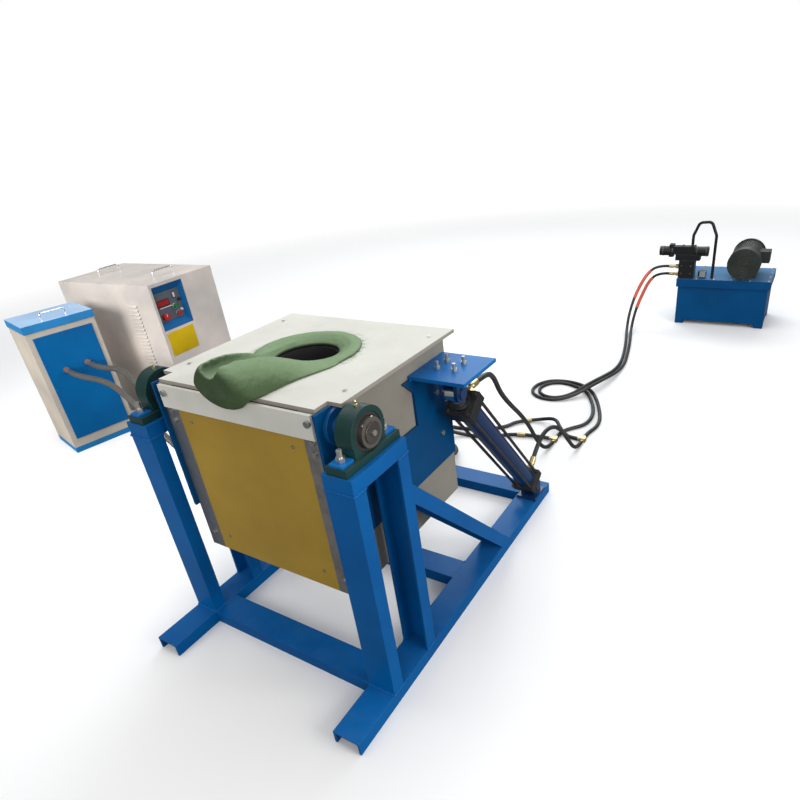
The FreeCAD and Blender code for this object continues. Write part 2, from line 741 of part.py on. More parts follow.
def coil_columns(coil):
    inner = COIL_RADIUS + COIL_TUBE_RADIUS - COLUMN_GROOVE
    columns = []
    for degrees in COLUMN_ANGLES:
        column = box(inner, inner + COLUMN_DEPTH, -COLUMN_WIDTH / 2, COLUMN_WIDTH / 2,
                     BODY_BOTTOM + BOTTOM_THICK, LID_BOTTOM)
        columns.append(turned_about_z(column, (0, CRUCIBLE_Y), degrees).cut(coil))
    return columns


# Pouring spout

def dome_section(y, middle_x, half_width, rise):
    left = vec(middle_x - half_width, y, LID_TOP)
    right = vec(middle_x + half_width, y, LID_TOP)
    arc = Part.Arc(right, vec(middle_x, y, LID_TOP + rise), left).toShape()
    return Part.Wire([Part.LineSegment(left, right).toShape(), arc])


def round_section(y, half_width, bottom, waist, top):
    left = vec(SPOUT_LIP_X - half_width, y, LID_TOP + waist)
    right = vec(SPOUT_LIP_X + half_width, y, LID_TOP + waist)
    upper = Part.Arc(right, vec(SPOUT_LIP_X, y, LID_TOP + top), left).toShape()
    lower = Part.Arc(left, vec(SPOUT_LIP_X, y, LID_TOP + bottom), right).toShape()
    return Part.Wire([upper, lower])


def pouring_spout():
    throat = CRUCIBLE_RADIUS + CRUCIBLE_WALL - LINING_GAP
    profile = [(SPOUT_BORE_RADIUS, CRUCIBLE_TOP), (throat, CRUCIBLE_TOP), (throat, LID_TOP)]
    profile.extend((COLLAR_RADIUS - inward, LID_TOP + rise) for inward, rise in COLLAR_PROFILE)
    profile.append((SPOUT_BORE_RADIUS + COLLAR_SLOPE_WIDTH, LID_TOP + COLLAR_INNER_RISE))
    profile.append((SPOUT_BORE_RADIUS, LID_TOP - BORE_EDGE_DROP))
    on_lid = Part.makeLoft([dome_section(*section) for section in SPOUT_ON_LID], True, False)
    nose = Part.makeLoft([round_section(*section) for section in SPOUT_NOSE], True, False)
    spout = turned(profile).fuse(on_lid).fuse(nose)
    bore_top = vec(0, CRUCIBLE_Y, LID_TOP + SPOUT_CREST_RISE)
    bore = rod(SPOUT_BORE_RADIUS, vec(0, CRUCIBLE_Y, CRUCIBLE_TOP - 1), bore_top)
    funnel_height = SPOUT_CREST_RISE + BORE_EDGE_DROP
    funnel_start = vec(0, CRUCIBLE_Y, LID_TOP - BORE_EDGE_DROP)
    funnel = Part.makeCone(SPOUT_BORE_RADIUS, FUNNEL_TOP_RADIUS, funnel_height, funnel_start, vec(0, 0, 1))
    start = vec(0, CRUCIBLE_Y, LID_TOP + TROUGH_START_RISE + TROUGH_START_RADIUS)
    end = vec(SPOUT_LIP_X, TROUGH_END_Y, LID_TOP + TROUGH_END_RISE + TROUGH_END_RADIUS)
    run = end.sub(start)
    trough = Part.makeCone(TROUGH_START_RADIUS, TROUGH_END_RADIUS, run.Length, start, run)
    return [spout.cut(bore).cut(funnel).cut(trough)]


# Tilting cylinders

CYLINDER_RISE = ROD_PIVOT_Z - CYLINDER_BASE_Z
CYLINDER_REACH = CYLINDER_BASE_Y - ROD_PIVOT_Y
CLOSED_LENGTH = math.hypot(CYLINDER_RISE, CYLINDER_REACH)
CYLINDER_LEAN = math.degrees(math.atan2(CYLINDER_REACH, CYLINDER_RISE))
HEAD_CAP_END = CLOSED_LENGTH - HEAD_CAP_SETBACK
HEAD_CAP_START = HEAD_CAP_END - HEAD_CAP_LENGTH
BASE_CAP_END = BASE_CAP_START + BASE_CAP_LENGTH


def in_cylinder(shape):
    copy = shape.copy()
    lean = FreeCAD.Rotation(vec(1, 0, 0), CYLINDER_LEAN)
    place = vec(CYLINDER_X, CYLINDER_BASE_Y, CYLINDER_BASE_Z)
    copy.Placement = FreeCAD.Placement(place, lean).multiply(copy.Placement)
    return copy


def upright(radius, low, high, x=0.0, y=0.0):
    return rod(radius, vec(x, y, low), vec(x, y, high))


def cylinder_barrel():
    barrel = upright(BARREL_RADIUS, BASE_CAP_END, HEAD_CAP_START)
    barrel = barrel.cut(upright(BARREL_BORE, BASE_CAP_END - 1, HEAD_CAP_START + 1))
    return [in_cylinder(barrel)]


def tie_rod_places():
    half = TIE_ROD_SPACING / 2
    return [(x, y) for x in (-half, half) for y in (-half, half)]


def cylinder_caps():
    half = CAP_SIZE / 2
    base = box(-half, half, -half, half, BASE_CAP_START, BASE_CAP_END)
    tang = box(-EYE_WIDTH / 2, EYE_WIDTH / 2, -EYE_RADIUS, EYE_RADIUS, 0, BASE_CAP_START)
    eye = rod(EYE_RADIUS, vec(-EYE_WIDTH / 2, 0, 0), vec(EYE_WIDTH / 2, 0, 0))
    base = base.fuse(tang).fuse(eye)
    base = base.cut(rod(PIN_RADIUS + RUNNING_GAP, vec(-CAP_SIZE, 0, 0), vec(CAP_SIZE, 0, 0)))
    head = box(-half, half, -half, half, HEAD_CAP_START, HEAD_CAP_END)
    gland_top = HEAD_CAP_END + GLAND_HEIGHT
    gland = upright(ROD_RADIUS + GLAND_WALL, HEAD_CAP_END, gland_top)
    head = head.fuse(gland).cut(upright(ROD_RADIUS + RUNNING_GAP, HEAD_CAP_START - 1, gland_top + 1))
    for x, y in tie_rod_places():
        hole = upright(TIE_ROD_RADIUS + RUNNING_GAP, BASE_CAP_START - 1, HEAD_CAP_END + 1, x, y)
        base = base.cut(hole)
        head = head.cut(hole)
    return [in_cylinder(base.removeSplitter()), in_cylinder(head.removeSplitter())]


def cylinder_tie_rods():
    nut = TIE_NUT_HEIGHT
    rods = []
    for x, y in tie_rod_places():
        shank = upright(TIE_ROD_RADIUS, BASE_CAP_START - nut - 3, HEAD_CAP_END + nut + TIE_ROD_PROUD, x, y)
        lower = hexagon(TIE_NUT_FLATS, vec(x, y, BASE_CAP_START - nut), vec(x, y, BASE_CAP_START))
        upper = hexagon(TIE_NUT_FLATS, vec(x, y, HEAD_CAP_END), vec(x, y, HEAD_CAP_END + nut))
        rods.append(in_cylinder(lower.fuse(shank).fuse(upper)))
    return rods


# Rod end, measured back from the centre of its eye
NECK_RADIUS_LESS = 1.0
NECK_START = 12.0
NECK_END = 41.0
SHANK_START = 40.0
COLLAR_START = 36.0
COLLAR_END = 60.0
COLLAR_WALL = 4.0
PIN_SHORT = 0.3


def piston_rod():
    half_eye = EYE_WIDTH / 2
    low = BASE_CAP_END + PISTON_SETBACK
    shank = upright(ROD_RADIUS, low, CLOSED_LENGTH - SHANK_START)
    neck = upright(half_eye - NECK_RADIUS_LESS, CLOSED_LENGTH - NECK_END, CLOSED_LENGTH - NECK_START)
    piston = upright(BARREL_BORE - PISTON_GAP, low, low + PISTON_LENGTH)
    eye = rod(EYE_RADIUS, vec(-half_eye, 0, CLOSED_LENGTH), vec(half_eye, 0, CLOSED_LENGTH))
    collar = upright(ROD_RADIUS + COLLAR_WALL, CLOSED_LENGTH - COLLAR_END, CLOSED_LENGTH - COLLAR_START)
    half_pin = FORK_GAP / 2 - PIN_SHORT
    pin = rod(PIN_RADIUS, vec(-half_pin, 0, CLOSED_LENGTH), vec(half_pin, 0, CLOSED_LENGTH))
    shape = shank.fuse(piston).fuse(neck).fuse(eye).fuse(collar).fuse(pin)
    return [in_cylinder(shape.removeSplitter())]


# Hose fittings: a nipple, its nut and the ferrule that grips the hose
NIPPLE_RADIUS = 9.0
FERRULE_RADIUS = 13.0
FITTING_NUT_FLATS = 27.0


def straight_fitting(height):
    start = vec(0, CAP_SIZE / 2, height)
    out = vec(0, 1, 0)
    nipple = rod(NIPPLE_RADIUS, start, start + out * BASE_FITTING_LENGTH)
    nut = hexagon(FITTING_NUT_FLATS, start + out * 6, start + out * 20)
    ferrule = rod(FERRULE_RADIUS, start + out * 26, start + out * BASE_FITTING_LENGTH)
    return nipple.fuse(nut).fuse(ferrule)


def elbow_fitting(height):
    start = vec(0, CAP_SIZE / 2, height)
    out = vec(0, 1, 0)
    lean = math.radians(CYLINDER_LEAN)
    level = vec(0, math.cos(lean), -math.sin(lean))
    corner = start + out * ELBOW_RISE
    nipple = rod(NIPPLE_RADIUS, start, corner)
    nut = hexagon(FITTING_NUT_FLATS, start + out * 4, start + out * 17)
    knuckle = Part.makeSphere(FERRULE_RADIUS, corner)
    ferrule = rod(FERRULE_RADIUS, corner, corner + level * ELBOW_REACH)
    return nipple.fuse(nut).fuse(knuckle).fuse(ferrule)


def cylinder_fittings():
    base = straight_fitting((BASE_CAP_START + BASE_CAP_END) / 2)
    head = elbow_fitting((HEAD_CAP_START + HEAD_CAP_END) / 2)
    return [in_cylinder(base), in_cylinder(head)]


def cylinder_brackets():
    gap = FORK_GAP / 2
    y = CYLINDER_BASE_Y
    z = CYLINDER_BASE_Z
    half = EYE_RADIUS + EAR_MARGIN
    reach = half + BRACKET_FOOT_MARGIN
    shape = box(CYLINDER_X - BRACKET_FOOT_HALF, CYLINDER_X + BRACKET_FOOT_HALF, y - reach, y + reach,
                RAIL_TOP, RAIL_TOP + BRACKET_FOOT_THICK)
    for side in (-1, 1):
        inner = CYLINDER_X + side * gap
        outer = CYLINDER_X + side * (gap + EAR_THICK)
        low, high = min(inner, outer), max(inner, outer)
        shape = shape.fuse(box(low, high, y - half, y + half, RAIL_TOP + BRACKET_FOOT_THICK - 1, z))
        shape = shape.fuse(rod(half, vec(low, y, z), vec(high, y, z)))
    pin_reach = gap + EAR_THICK + PIN_HEAD_HEIGHT / 2
    hole = rod(PIN_RADIUS + RUNNING_GAP, vec(CYLINDER_X - CAP_SIZE, y, z), vec(CYLINDER_X + CAP_SIZE, y, z))
    shape = shape.cut(hole).removeSplitter()
    pin = rod(PIN_RADIUS, vec(CYLINDER_X - pin_reach, y, z), vec(CYLINDER_X + pin_reach, y, z))
    for side in (-1, 1):
        cap_start = vec(CYLINDER_X + side * (gap + EAR_THICK), y, z)
        cap_end = vec(CYLINDER_X + side * (gap + EAR_THICK + PIN_HEAD_HEIGHT), y, z)
        pin = pin.fuse(rod(PIN_RADIUS + PIN_HEAD_WALL, cap_start, cap_end))
    return both_sides([shape, pin.removeSplitter()])


def rod_clevises():
    gap = FORK_GAP / 2
    y = ROD_PIVOT_Y
    z = ROD_PIVOT_Z
    top = BRACKET_TOP - BRACKET_THICK
    plate_bottom = top - CLEVIS_PLATE_THICK
    half_plate = CLEVIS_PLATE / 2
    shape = box(CYLINDER_X - half_plate, CYLINDER_X + half_plate, y - half_plate, y + half_plate,
                plate_bottom, top)
    half = EYE_RADIUS + EAR_MARGIN
    for side in (-1, 1):
        inner = CYLINDER_X + side * gap
        outer = CYLINDER_X + side * (gap + EAR_THICK)
        low, high = min(inner, outer), max(inner, outer)
        ear = box(low, high, y - half, y + half, z, plate_bottom + 1)
        ear = ear.fuse(rod(half, vec(low, y, z), vec(high, y, z)))
        head_start = vec(outer, y, z)
        head_end = vec(outer + side * PIN_HEAD_HEIGHT, y, z)
        ear = ear.fuse(rod(PIN_RADIUS + PIN_HEAD_WALL, head_start, head_end))
        shape = shape.fuse(ear)
    for x, bolt_y in clevis_bolt_places():
        shape = shape.cut(rod(CLEVIS_HOLE_RADIUS, vec(x, bolt_y, plate_bottom + 1), vec(x, bolt_y, top + 1)))
    return both_sides([shape.removeSplitter()])


# Hoses: the routes are chosen by hand, from one fitting to the next

CYLINDER_WAY = vec(0, -math.sin(math.radians(CYLINDER_LEAN)), math.cos(math.radians(CYLINDER_LEAN)))
PORT_WAY = vec(0, math.cos(math.radians(CYLINDER_LEAN)), math.sin(math.radians(CYLINDER_LEAN)))


def on_cylinder(height, rise):
    base = vec(CYLINDER_X, CYLINDER_BASE_Y, CYLINDER_BASE_Z)
    return base + CYLINDER_WAY * height + PORT_WAY * (CAP_SIZE / 2 + rise)


def tee(x, y, arms):
    shape = box(x - TEE_HALF, x + TEE_HALF, y - TEE_HALF, y + TEE_HALF, 0, TEE_HEIGHT)
    for way, z in arms:
        start = vec(x, y, z)
        shape = shape.fuse(rod(HOSE_RADIUS - 0.5, start, start + way * TEE_REACH))
    return shape.removeSplitter()


TEE_HALF = 14.0
TEE_HEIGHT = 24.0
TEE_REACH = 30.0
TEE_ARM_HEIGHT = 13.5
HEAD_TEE = (318.0, 1736.0)
BASE_TEE = (458.0, 1790.0)

RIGHT_HEAD_ROUTE = [
    (404, 906, 744), (384, 992, 636), (362, 1120, 520), (340, 1252, 412), (322, 1368, 306),
    (306, 1468, 200), (298, 1540, 109), (311, 1597, 34), (318, 1661, 10)]
RIGHT_BASE_ROUTE = [
    (427, 1362, 290), (436, 1452, 260), (444, 1534, 184), (450, 1602, 95), (454, 1662, 30),
    (458, 1717, 10)]
LEFT_HEAD_ROUTE = [
    (-404, 906, 744), (-384, 992, 636), (-362, 1120, 514), (-345, 1249, 399), (-326, 1355, 284),
    (-308, 1442, 184), (-284, 1518, 96), (-242, 1584, 32), (-170, 1616, 10), (-80, 1624, 10),
    (0, 1656, 10), (70, 1704, TEE_ARM_HEIGHT), (196, 1736, TEE_ARM_HEIGHT)]
LEFT_BASE_ROUTE = [
    (-427, 1362, 290), (-434, 1452, 260), (-430, 1532, 184), (-406, 1598, 102), (-360, 1646, 34),
    (-290, 1670, 10), (-200, 1678, 10), (-112, 1702, 10), (-44, 1742, 10), (10, 1782, 10),
    (43, 1855, 13.5), (152, 1920, 13.5), (237, 1905, 43), (282, 1869, 53), (311, 1828, 44),
    (345, 1802, 22), (385, 1790, 10)]
PRESSURE_ROUTE = [
    (344, 3828, 430), (280, 3798, 380), (240, 3728, 292), (218, 3644, 200), (212, 3566, 106),
    (222, 3490, 26), (246, 3395, 10), (288, 3225, 10), (332, 3010, 10), (352, 2862, 10),
    (352, 2720, 18), (338, 2590, 38), (316, 2476, 52), (277, 2376, 50), (222, 2285, 22),
    (144, 2223, 10), (60, 2226, 10), (0, 2280, 10), (-11, 2358, 10), (30, 2425, 10),
    (104, 2452, 10), (202, 2422, 10), (282, 2372, 10), (348, 2266, 10), (400, 2150, 10),
    (424, 2040, 10), (412, 1946, 10), (351, 1884, 10), (318, 1824, 10)]
RETURN_ROUTE = [
    (346, 3860, 366), (288, 3830, 313), (262, 3758, 232), (246, 3672, 158), (242, 3592, 84),
    (250, 3508, 20), (274, 3404, 10), (315, 3230, 10), (357, 3013, 10), (380, 2862, 10),
    (380, 2716, 18), (366, 2580, 38), (344, 2464, 52), (304, 2356, 50), (238, 2260, 24),
    (152, 2195, 10), (48, 2190, 10), (-38, 2252, 10), (-54, 2358, 10), (-4, 2450, 10),
    (98, 2484, 10), (216, 2464, 10), (306, 2396, 10), (376, 2282, 10), (430, 2160, 10),
    (472, 2046, 10), (482, 1950, 10), (458, 1866, 10)]


HEAD_PORT = on_cylinder((HEAD_CAP_START + HEAD_CAP_END) / 2, ELBOW_RISE) + vec(0, ELBOW_REACH, 0)
BASE_PORT = on_cylinder((BASE_CAP_START + BASE_CAP_END) / 2, BASE_FITTING_LENGTH)
FIRST_RUN = 80.0
FITTING_X = 430.0
PRESSURE_FITTING = (FITTING_X, 3828.0, 430.0)
RETURN_FITTING = (FITTING_X, 3860.0, 366.0)


def first_run(port, way, side):
    bend = port + way * FIRST_RUN
    return [(side * port.x, port.y, port.z), (side * bend.x, bend.y, bend.z)]


def hoses():
    head_x, head_y = HEAD_TEE
    base_x, base_y = BASE_TEE
    z = HOSE_RADIUS
    r = HOSE_RADIUS
    level = vec(0, 1, 0)
    right_head = first_run(HEAD_PORT, level, 1) + RIGHT_HEAD_ROUTE + [(head_x, head_y - TEE_REACH, z)]
    right_base = first_run(BASE_PORT, PORT_WAY, 1) + RIGHT_BASE_ROUTE + [(base_x, base_y - TEE_REACH, z)]
    left_head_end = (head_x - TEE_REACH, head_y, TEE_ARM_HEIGHT)
    left_head = first_run(HEAD_PORT, level, -1) + LEFT_HEAD_ROUTE + [left_head_end]
    left_base = first_run(BASE_PORT, PORT_WAY, -1) + LEFT_BASE_ROUTE + [(base_x - TEE_REACH, base_y, z)]
    pressure = [PRESSURE_FITTING] + PRESSURE_ROUTE + [(head_x, head_y + TEE_REACH, z)]
    back = [RETURN_FITTING] + RETURN_ROUTE + [(base_x, base_y + TEE_REACH, z)]
    save("right_head_hose", free_cord("right_head_hose", right_head, r))
    save("right_base_hose", free_cord("right_base_hose", right_base, r))
    save("left_head_hose", free_cord("left_head_hose", left_head, r))
    save("left_base_hose", free_cord("left_base_hose", left_base, r))
    save("pressure_hose", free_cord("pressure_hose", pressure, r))
    save("return_hose", free_cord("return_hose", back, r))


SLEEVE_WALL = 3.0
SLEEVE_GRIP = 0.1
SLEEVE_SHARES = (0.30, 0.66)
UNIT_NUT_FLATS = 28.0
UNIT_FERRULE_LENGTH = 34.0


def sleeve_on(start, end):
    run = vec(*end) - vec(*start)
    place = vec(*start)
    near, far = SLEEVE_SHARES
    return tube(HOSE_RADIUS + SLEEVE_WALL, HOSE_RADIUS - SLEEVE_GRIP, place + run * near, place + run * far)


def hose_couplings():
    right, forward, back = vec(1, 0, 0), vec(0, 1, 0), vec(0, -1, 0)
    left = vec(-1, 0, 0)
    low = HOSE_RADIUS
    pieces = [
        tee(*HEAD_TEE, ((left, TEE_ARM_HEIGHT), (forward, low), (back, low))),
        tee(*BASE_TEE, ((left, low), (forward, low), (back, low))),
        sleeve_on(*LEFT_HEAD_ROUTE[11:13]),
        sleeve_on(*LEFT_BASE_ROUTE[10:12])]
    for x, y, z in (PRESSURE_FITTING, RETURN_FITTING):
        start = vec(x, y, z)
        end = vec(VALVE_LEFT, y, z)
        nut = hexagon(UNIT_NUT_FLATS, end - right * 26, end - right * 4)
        ferrule = rod(FERRULE_RADIUS, start, start + right * UNIT_FERRULE_LENGTH)
        pieces.append(rod(NIPPLE_RADIUS, start, end).fuse(nut).fuse(ferrule))
    return pieces


# Water-cooled leads from the capacitor box to the coil's tails

OUTER_LEAD_ROUTE = [
    (-1938, 806, 522), (-1798, 784, 476), (-1670, 764, 396), (-1557, 748, 292), (-1455, 745, 182),
    (-1350, 756, 92), (-1235, 790, 28), (-1125, 842, 16), (-1020, 905, 16), (-920, 980, 16),
    (-830, 1065, 16), (-757, 1158, 16), (-700, 1255, 16), (-655, 1355, 16), (-605, 1450, 16),
    (-525, 1520, 16), (-425, 1554, 16), (-320, 1549, 16), (-225, 1512, 16), (-148, 1456, 20),
    (-96, 1384, 44), (-68, 1302, 82), (-60, 1222, 128), (-60, 1150, 182), (-60, 1088, 246),
    (-60, 1035, 318), (-60, 985, 382), (-60, 922, 432)]
INNER_LEAD_ROUTE = [
    (-1896, 689, 500), (-1722, 672, 448), (-1582, 654, 374), (-1454, 640, 284), (-1352, 655, 174),
    (-1260, 690, 88), (-1160, 738, 26), (-1055, 800, 16), (-950, 875, 16), (-850, 960, 16),
    (-760, 1050, 16), (-690, 1140, 16), (-640, 1235, 16), (-600, 1330, 16), (-545, 1412, 16),
    (-474, 1477, 16), (-384, 1500, 16), (-300, 1482, 16), (-234, 1433, 26), (-192, 1368, 50),
    (-170, 1296, 84), (-168, 1222, 128), (-168, 1150, 182), (-168, 1088, 246), (-168, 1035, 318),
    (-168, 985, 382), (-168, 922, 432)]
LEAD_FIRST_RUN = 120.0
LEAD_LAST_RUN = 78.0


def lead_route(lug, route, tail):
    x, z = tail
    y, height = lug
    start = box_point(LUG_REACH, y, height)
    bend = box_point(LUG_REACH + LEAD_FIRST_RUN, y, height)
    return [start, bend] + route + [(x, TAIL_END_Y + LEAD_LAST_RUN, z), (x, TAIL_END_Y, z)]


def leads():
    lugs = list(zip(LUG_PLACES, LUG_HEIGHTS))
    inner = lead_route(lugs[0], INNER_LEAD_ROUTE, tail_places()[0])
    outer = lead_route(lugs[1], OUTER_LEAD_ROUTE, tail_places()[1])
    save("inner_lead", free_cord("inner_lead", inner, LEAD_RADIUS))
    save("outer_lead", free_cord("outer_lead", outer, LEAD_RADIUS))


# Capacitor box. Its own x runs out of its front face, its own y along the front

def at_box(shape):
    return turned_about_z(shape, BOX_CORNER, BOX_TURN)


def box_point(x, y, z):
    turn = math.radians(BOX_TURN)
    return (BOX_CORNER[0] + x * math.cos(turn) - y * math.sin(turn),
            BOX_CORNER[1] + x * math.sin(turn) + y * math.cos(turn), z)


BOX_PANEL_MARGIN = 28.0
BOX_PANEL_BOTTOM = 88.0
BOX_PANEL_TOP = BOX_HEIGHT - 46.0
BOX_PANEL_THICK = 5.0
WINDOW_INSET = 14.0
BOX_BASE_WALL = 30.0
BOX_LID_SKIRT = 14.0
BOX_LID_OVERHANG = 4.0
BOX_FIT_GAP = 0.5
LUG_HEIGHTS = (512.0, 518.0)
LUG_PLACES = (124.0, 246.0)
LUG_REACH = 78.0
LUG_STUD_RADIUS = 8.0
LUG_STUD_INSIDE = 30.0
LUG_BARREL_RADIUS = 13.0
LUG_BARREL_START = 30.0
LUG_NUT_FLATS = 30.0
LUG_NUT_HEIGHT = 13.0
HANDLE_RISE = 38.0
HANDLE_BEND = 14.0
HANDLE_RADIUS = 5.0
BOX_HANDLE = (-60.0, 130.0)
CABINET_HANDLES = ((-150.0, 150.0), (190.0 - CABINET_DEPTH, 150.0))


def box_shell():
    wall = BOX_BASE_WALL
    edge = BOX_PANEL_MARGIN + WINDOW_INSET
    outer = box(-BOX_DEPTH, 0, 0, BOX_WIDTH, BOX_BASE_HEIGHT, BOX_HEIGHT)
    inner = box(-BOX_DEPTH + SHEET, -SHEET, SHEET, BOX_WIDTH - SHEET,
                BOX_BASE_HEIGHT + SHEET, BOX_HEIGHT + 1)
    base = box(-BOX_DEPTH, 0, 0, BOX_WIDTH, 0, BOX_BASE_HEIGHT)
    hollow = box(-BOX_DEPTH + wall, -wall, wall, BOX_WIDTH - wall, -1, BOX_BASE_HEIGHT + 1)
    window = box(-SHEET - 1, 1, edge, BOX_WIDTH - edge,
                 BOX_PANEL_BOTTOM + WINDOW_INSET, BOX_PANEL_TOP - WINDOW_INSET)
    return [at_box(outer.cut(inner).cut(window)), at_box(base.cut(hollow))]


def box_lid():
    over = BOX_LID_OVERHANG
    gap = BOX_FIT_GAP
    bottom = BOX_HEIGHT - BOX_LID_SKIRT
    outer = box(-BOX_DEPTH - over, over, -over, BOX_WIDTH + over, bottom, BOX_HEIGHT + BOX_LID_THICK)
    inner = box(-BOX_DEPTH - gap, gap, -gap, BOX_WIDTH + gap, bottom - 1, BOX_HEIGHT)
    return [at_box(outer.cut(inner))]


def box_panel():
    thick = BOX_PANEL_THICK
    panel = box(0, thick, BOX_PANEL_MARGIN, BOX_WIDTH - BOX_PANEL_MARGIN, BOX_PANEL_BOTTOM, BOX_PANEL_TOP)
    for y, z in zip(LUG_PLACES, LUG_HEIGHTS):
        panel = panel.cut(rod(LUG_STUD_RADIUS + BOX_FIT_GAP, vec(-1, y, z), vec(thick + 1, y, z)))
    return [at_box(panel)]


def lead_lugs():
    lugs = []
    for y, z in zip(LUG_PLACES, LUG_HEIGHTS):
        end = vec(LUG_REACH, y, z)
        nut_start = vec(BOX_PANEL_THICK, y, z)
        stud = rod(LUG_STUD_RADIUS, vec(-LUG_STUD_INSIDE, y, z), end)
        nut = hexagon(LUG_NUT_FLATS, nut_start, nut_start + vec(LUG_NUT_HEIGHT, 0, 0))
        barrel = rod(LUG_BARREL_RADIUS, vec(LUG_BARREL_START, y, z), end)
        lugs.append(at_box(stud.fuse(nut).fuse(barrel)))
    return lugs


def handle(x, y, z, length):
    near = y - length / 2
    far = y + length / 2
    top = z + HANDLE_RISE
    route = [vec(x, near, z), vec(x, near, top), vec(x, far, top), vec(x, far, z)]
    return swept_tube(route_edges(route, HANDLE_BEND)[0], HANDLE_RADIUS)[0]


def top_handles():
    x, length = BOX_HANDLE
    handles = [at_box(handle(x, BOX_WIDTH / 2, BOX_HEIGHT + BOX_LID_THICK, length))]
    for x, length in CABINET_HANDLES:
        handles.append(at_cabinet(handle(x, CABINET_WIDTH / 2, CABINET_HEIGHT, length)))
    return handles


# Power cabinet. Its own x runs out of its front face, its own y along the front

def at_cabinet(shape):
    return turned_about_z(shape, CABINET_CORNER, CABINET_TURN)


PANEL_LEFT = 16.0
PANEL_RIGHT = 240.0
PANEL_LOW = 612.0
PANEL_HIGH = 880.0
PANEL_RECESS = 24.0
LOUVRE_COUNT = 22
LOUVRE_LENGTH = 92.0
LOUVRE_HEIGHT = 7.0
LOUVRE_PITCH = 24.0
LOUVRE_TOP = 770.0
LOUVRE_X = -208.0
STEM_RADIUS = 8.0
START_PLACE = (158.0, 732.0)
STOP_PLACE = (168.0, 684.0)
KNOB_PLACE = (66.0, 690.0)
STEM_INSIDE = 20.0
BUTTON_GAP = 5.5
KNOB_GAP = 0.4
# Heads of the controls: radius, length, gap behind the head
BUTTON_HEAD = (14.0, 10.0, BUTTON_GAP)
KNOB_HEAD = (21.0, 24.0, KNOB_GAP)


def cabinet_shell():
    outer = box(-CABINET_DEPTH, 0, 0, CABINET_WIDTH, 0, CABINET_HEIGHT)
    inner = box(-CABINET_DEPTH + SHEET, -SHEET, SHEET, CABINET_WIDTH - SHEET, SHEET, CABINET_HEIGHT - SHEET)
    shell = outer.cut(inner)
    shell = shell.cut(box(-SHEET - 1, 1, PANEL_LEFT, PANEL_RIGHT, PANEL_LOW, PANEL_HIGH))
    for i in range(LOUVRE_COUNT):
        top = LOUVRE_TOP - i * LOUVRE_PITCH
        slot = box(LOUVRE_X - LOUVRE_LENGTH / 2, LOUVRE_X + LOUVRE_LENGTH / 2, -1, SHEET + 1,
                   top - LOUVRE_HEIGHT, top)
        shell = shell.cut(slot)
    return [at_cabinet(shell)]


def control_panel():
    tray = box(-PANEL_RECESS - SHEET, 0, PANEL_LEFT, PANEL_RIGHT, PANEL_LOW, PANEL_HIGH)
    hollow = box(-PANEL_RECESS, 1, PANEL_LEFT + SHEET, PANEL_RIGHT - SHEET, PANEL_LOW + SHEET, PANEL_HIGH - SHEET)
    tray = tray.cut(hollow)
    for y, z in (START_PLACE, STOP_PLACE, KNOB_PLACE):
        tray = tray.cut(rod(STEM_RADIUS + RUNNING_GAP, vec(-PANEL_RECESS - SHEET - 1, y, z), vec(1, y, z)))
    return [at_cabinet(tray)]


def panel_control(place, head):
    y, z = place
    head_radius, head_length, gap = head
    face = -PANEL_RECESS
    stem = rod(STEM_RADIUS, vec(face - SHEET - STEM_INSIDE, y, z), vec(face + gap + 1, y, z))
    cap = rod(head_radius, vec(face + gap, y, z), vec(face + gap + head_length, y, z))
    return at_cabinet(stem.fuse(cap).removeSplitter())


# Hydraulic unit

TANK_INSET = 12.0
TANK_WALL = 4.0
TANK_LID_THICK = 6.0
TANK_LID_WALL = 5.0
TANK_FOOT_SIZE = 60.0
FILLER_PLACE = (666.0, 3840.0)
NECK_RADIUS = 22.0
NECK_HEIGHT = 36.0
CAP_RADIUS = 31.0
CAP_RISE = 14.0
CAP_PROUD = 18.0
CAP_SEAT_GAP = 0.3

COWL_LENGTH = 78.0
COWL_WALL = 8.0
MOTOR_FOOT_STARTS = (-78.0, 48.0)
MOTOR_FOOT_WIDTH = 30.0
MOTOR_FOOT_INSET = 40.0
MOTOR_FOOT_DROP = 60.0
# Terminal box of the motor: x and z from its axis, y from the cowl
TERMINAL_BOX_X = (70.0, 150.0)
TERMINAL_BOX_Y = (60.0, 160.0)
TERMINAL_BOX_Z = (-20.0, 60.0)
MOTOR_FLANGE_WALL = 4.0
MOTOR_FLANGE_LENGTH = 16.0
PUMP_RADIUS = 46.0
PUMP_LENGTH = 70.0

VALVE_LEFT = 500.0
VALVE_Y = 3842.0
# Blocks of the valve stack: first x, last x, half depth, bottom, top
VALVE_BLOCKS = [
    (VALVE_LEFT, 608.0, 42.0, TANK_TOP, 478.0), (470.0, 640.0, 36.0, 478.0, 520.0),
    (452.0, 600.0, 30.0, 520.0, 576.0), (420.0, 452.0, 26.0, 500.0, 590.0)]
SOLENOID_RADIUS = 34.0
SOLENOID_Z = 540.0
SOLENOID_SPANS = ((352.0, 452.0), (600.0, 692.0))
OIL_PIPE_RADIUS = 10.0
OIL_PIPE_BEND = 34.0
OIL_PIPE_ROUTE = [(578, 576), (578, 652), (614, 742), (694, 746), (733, 652), (733, TANK_TOP)]


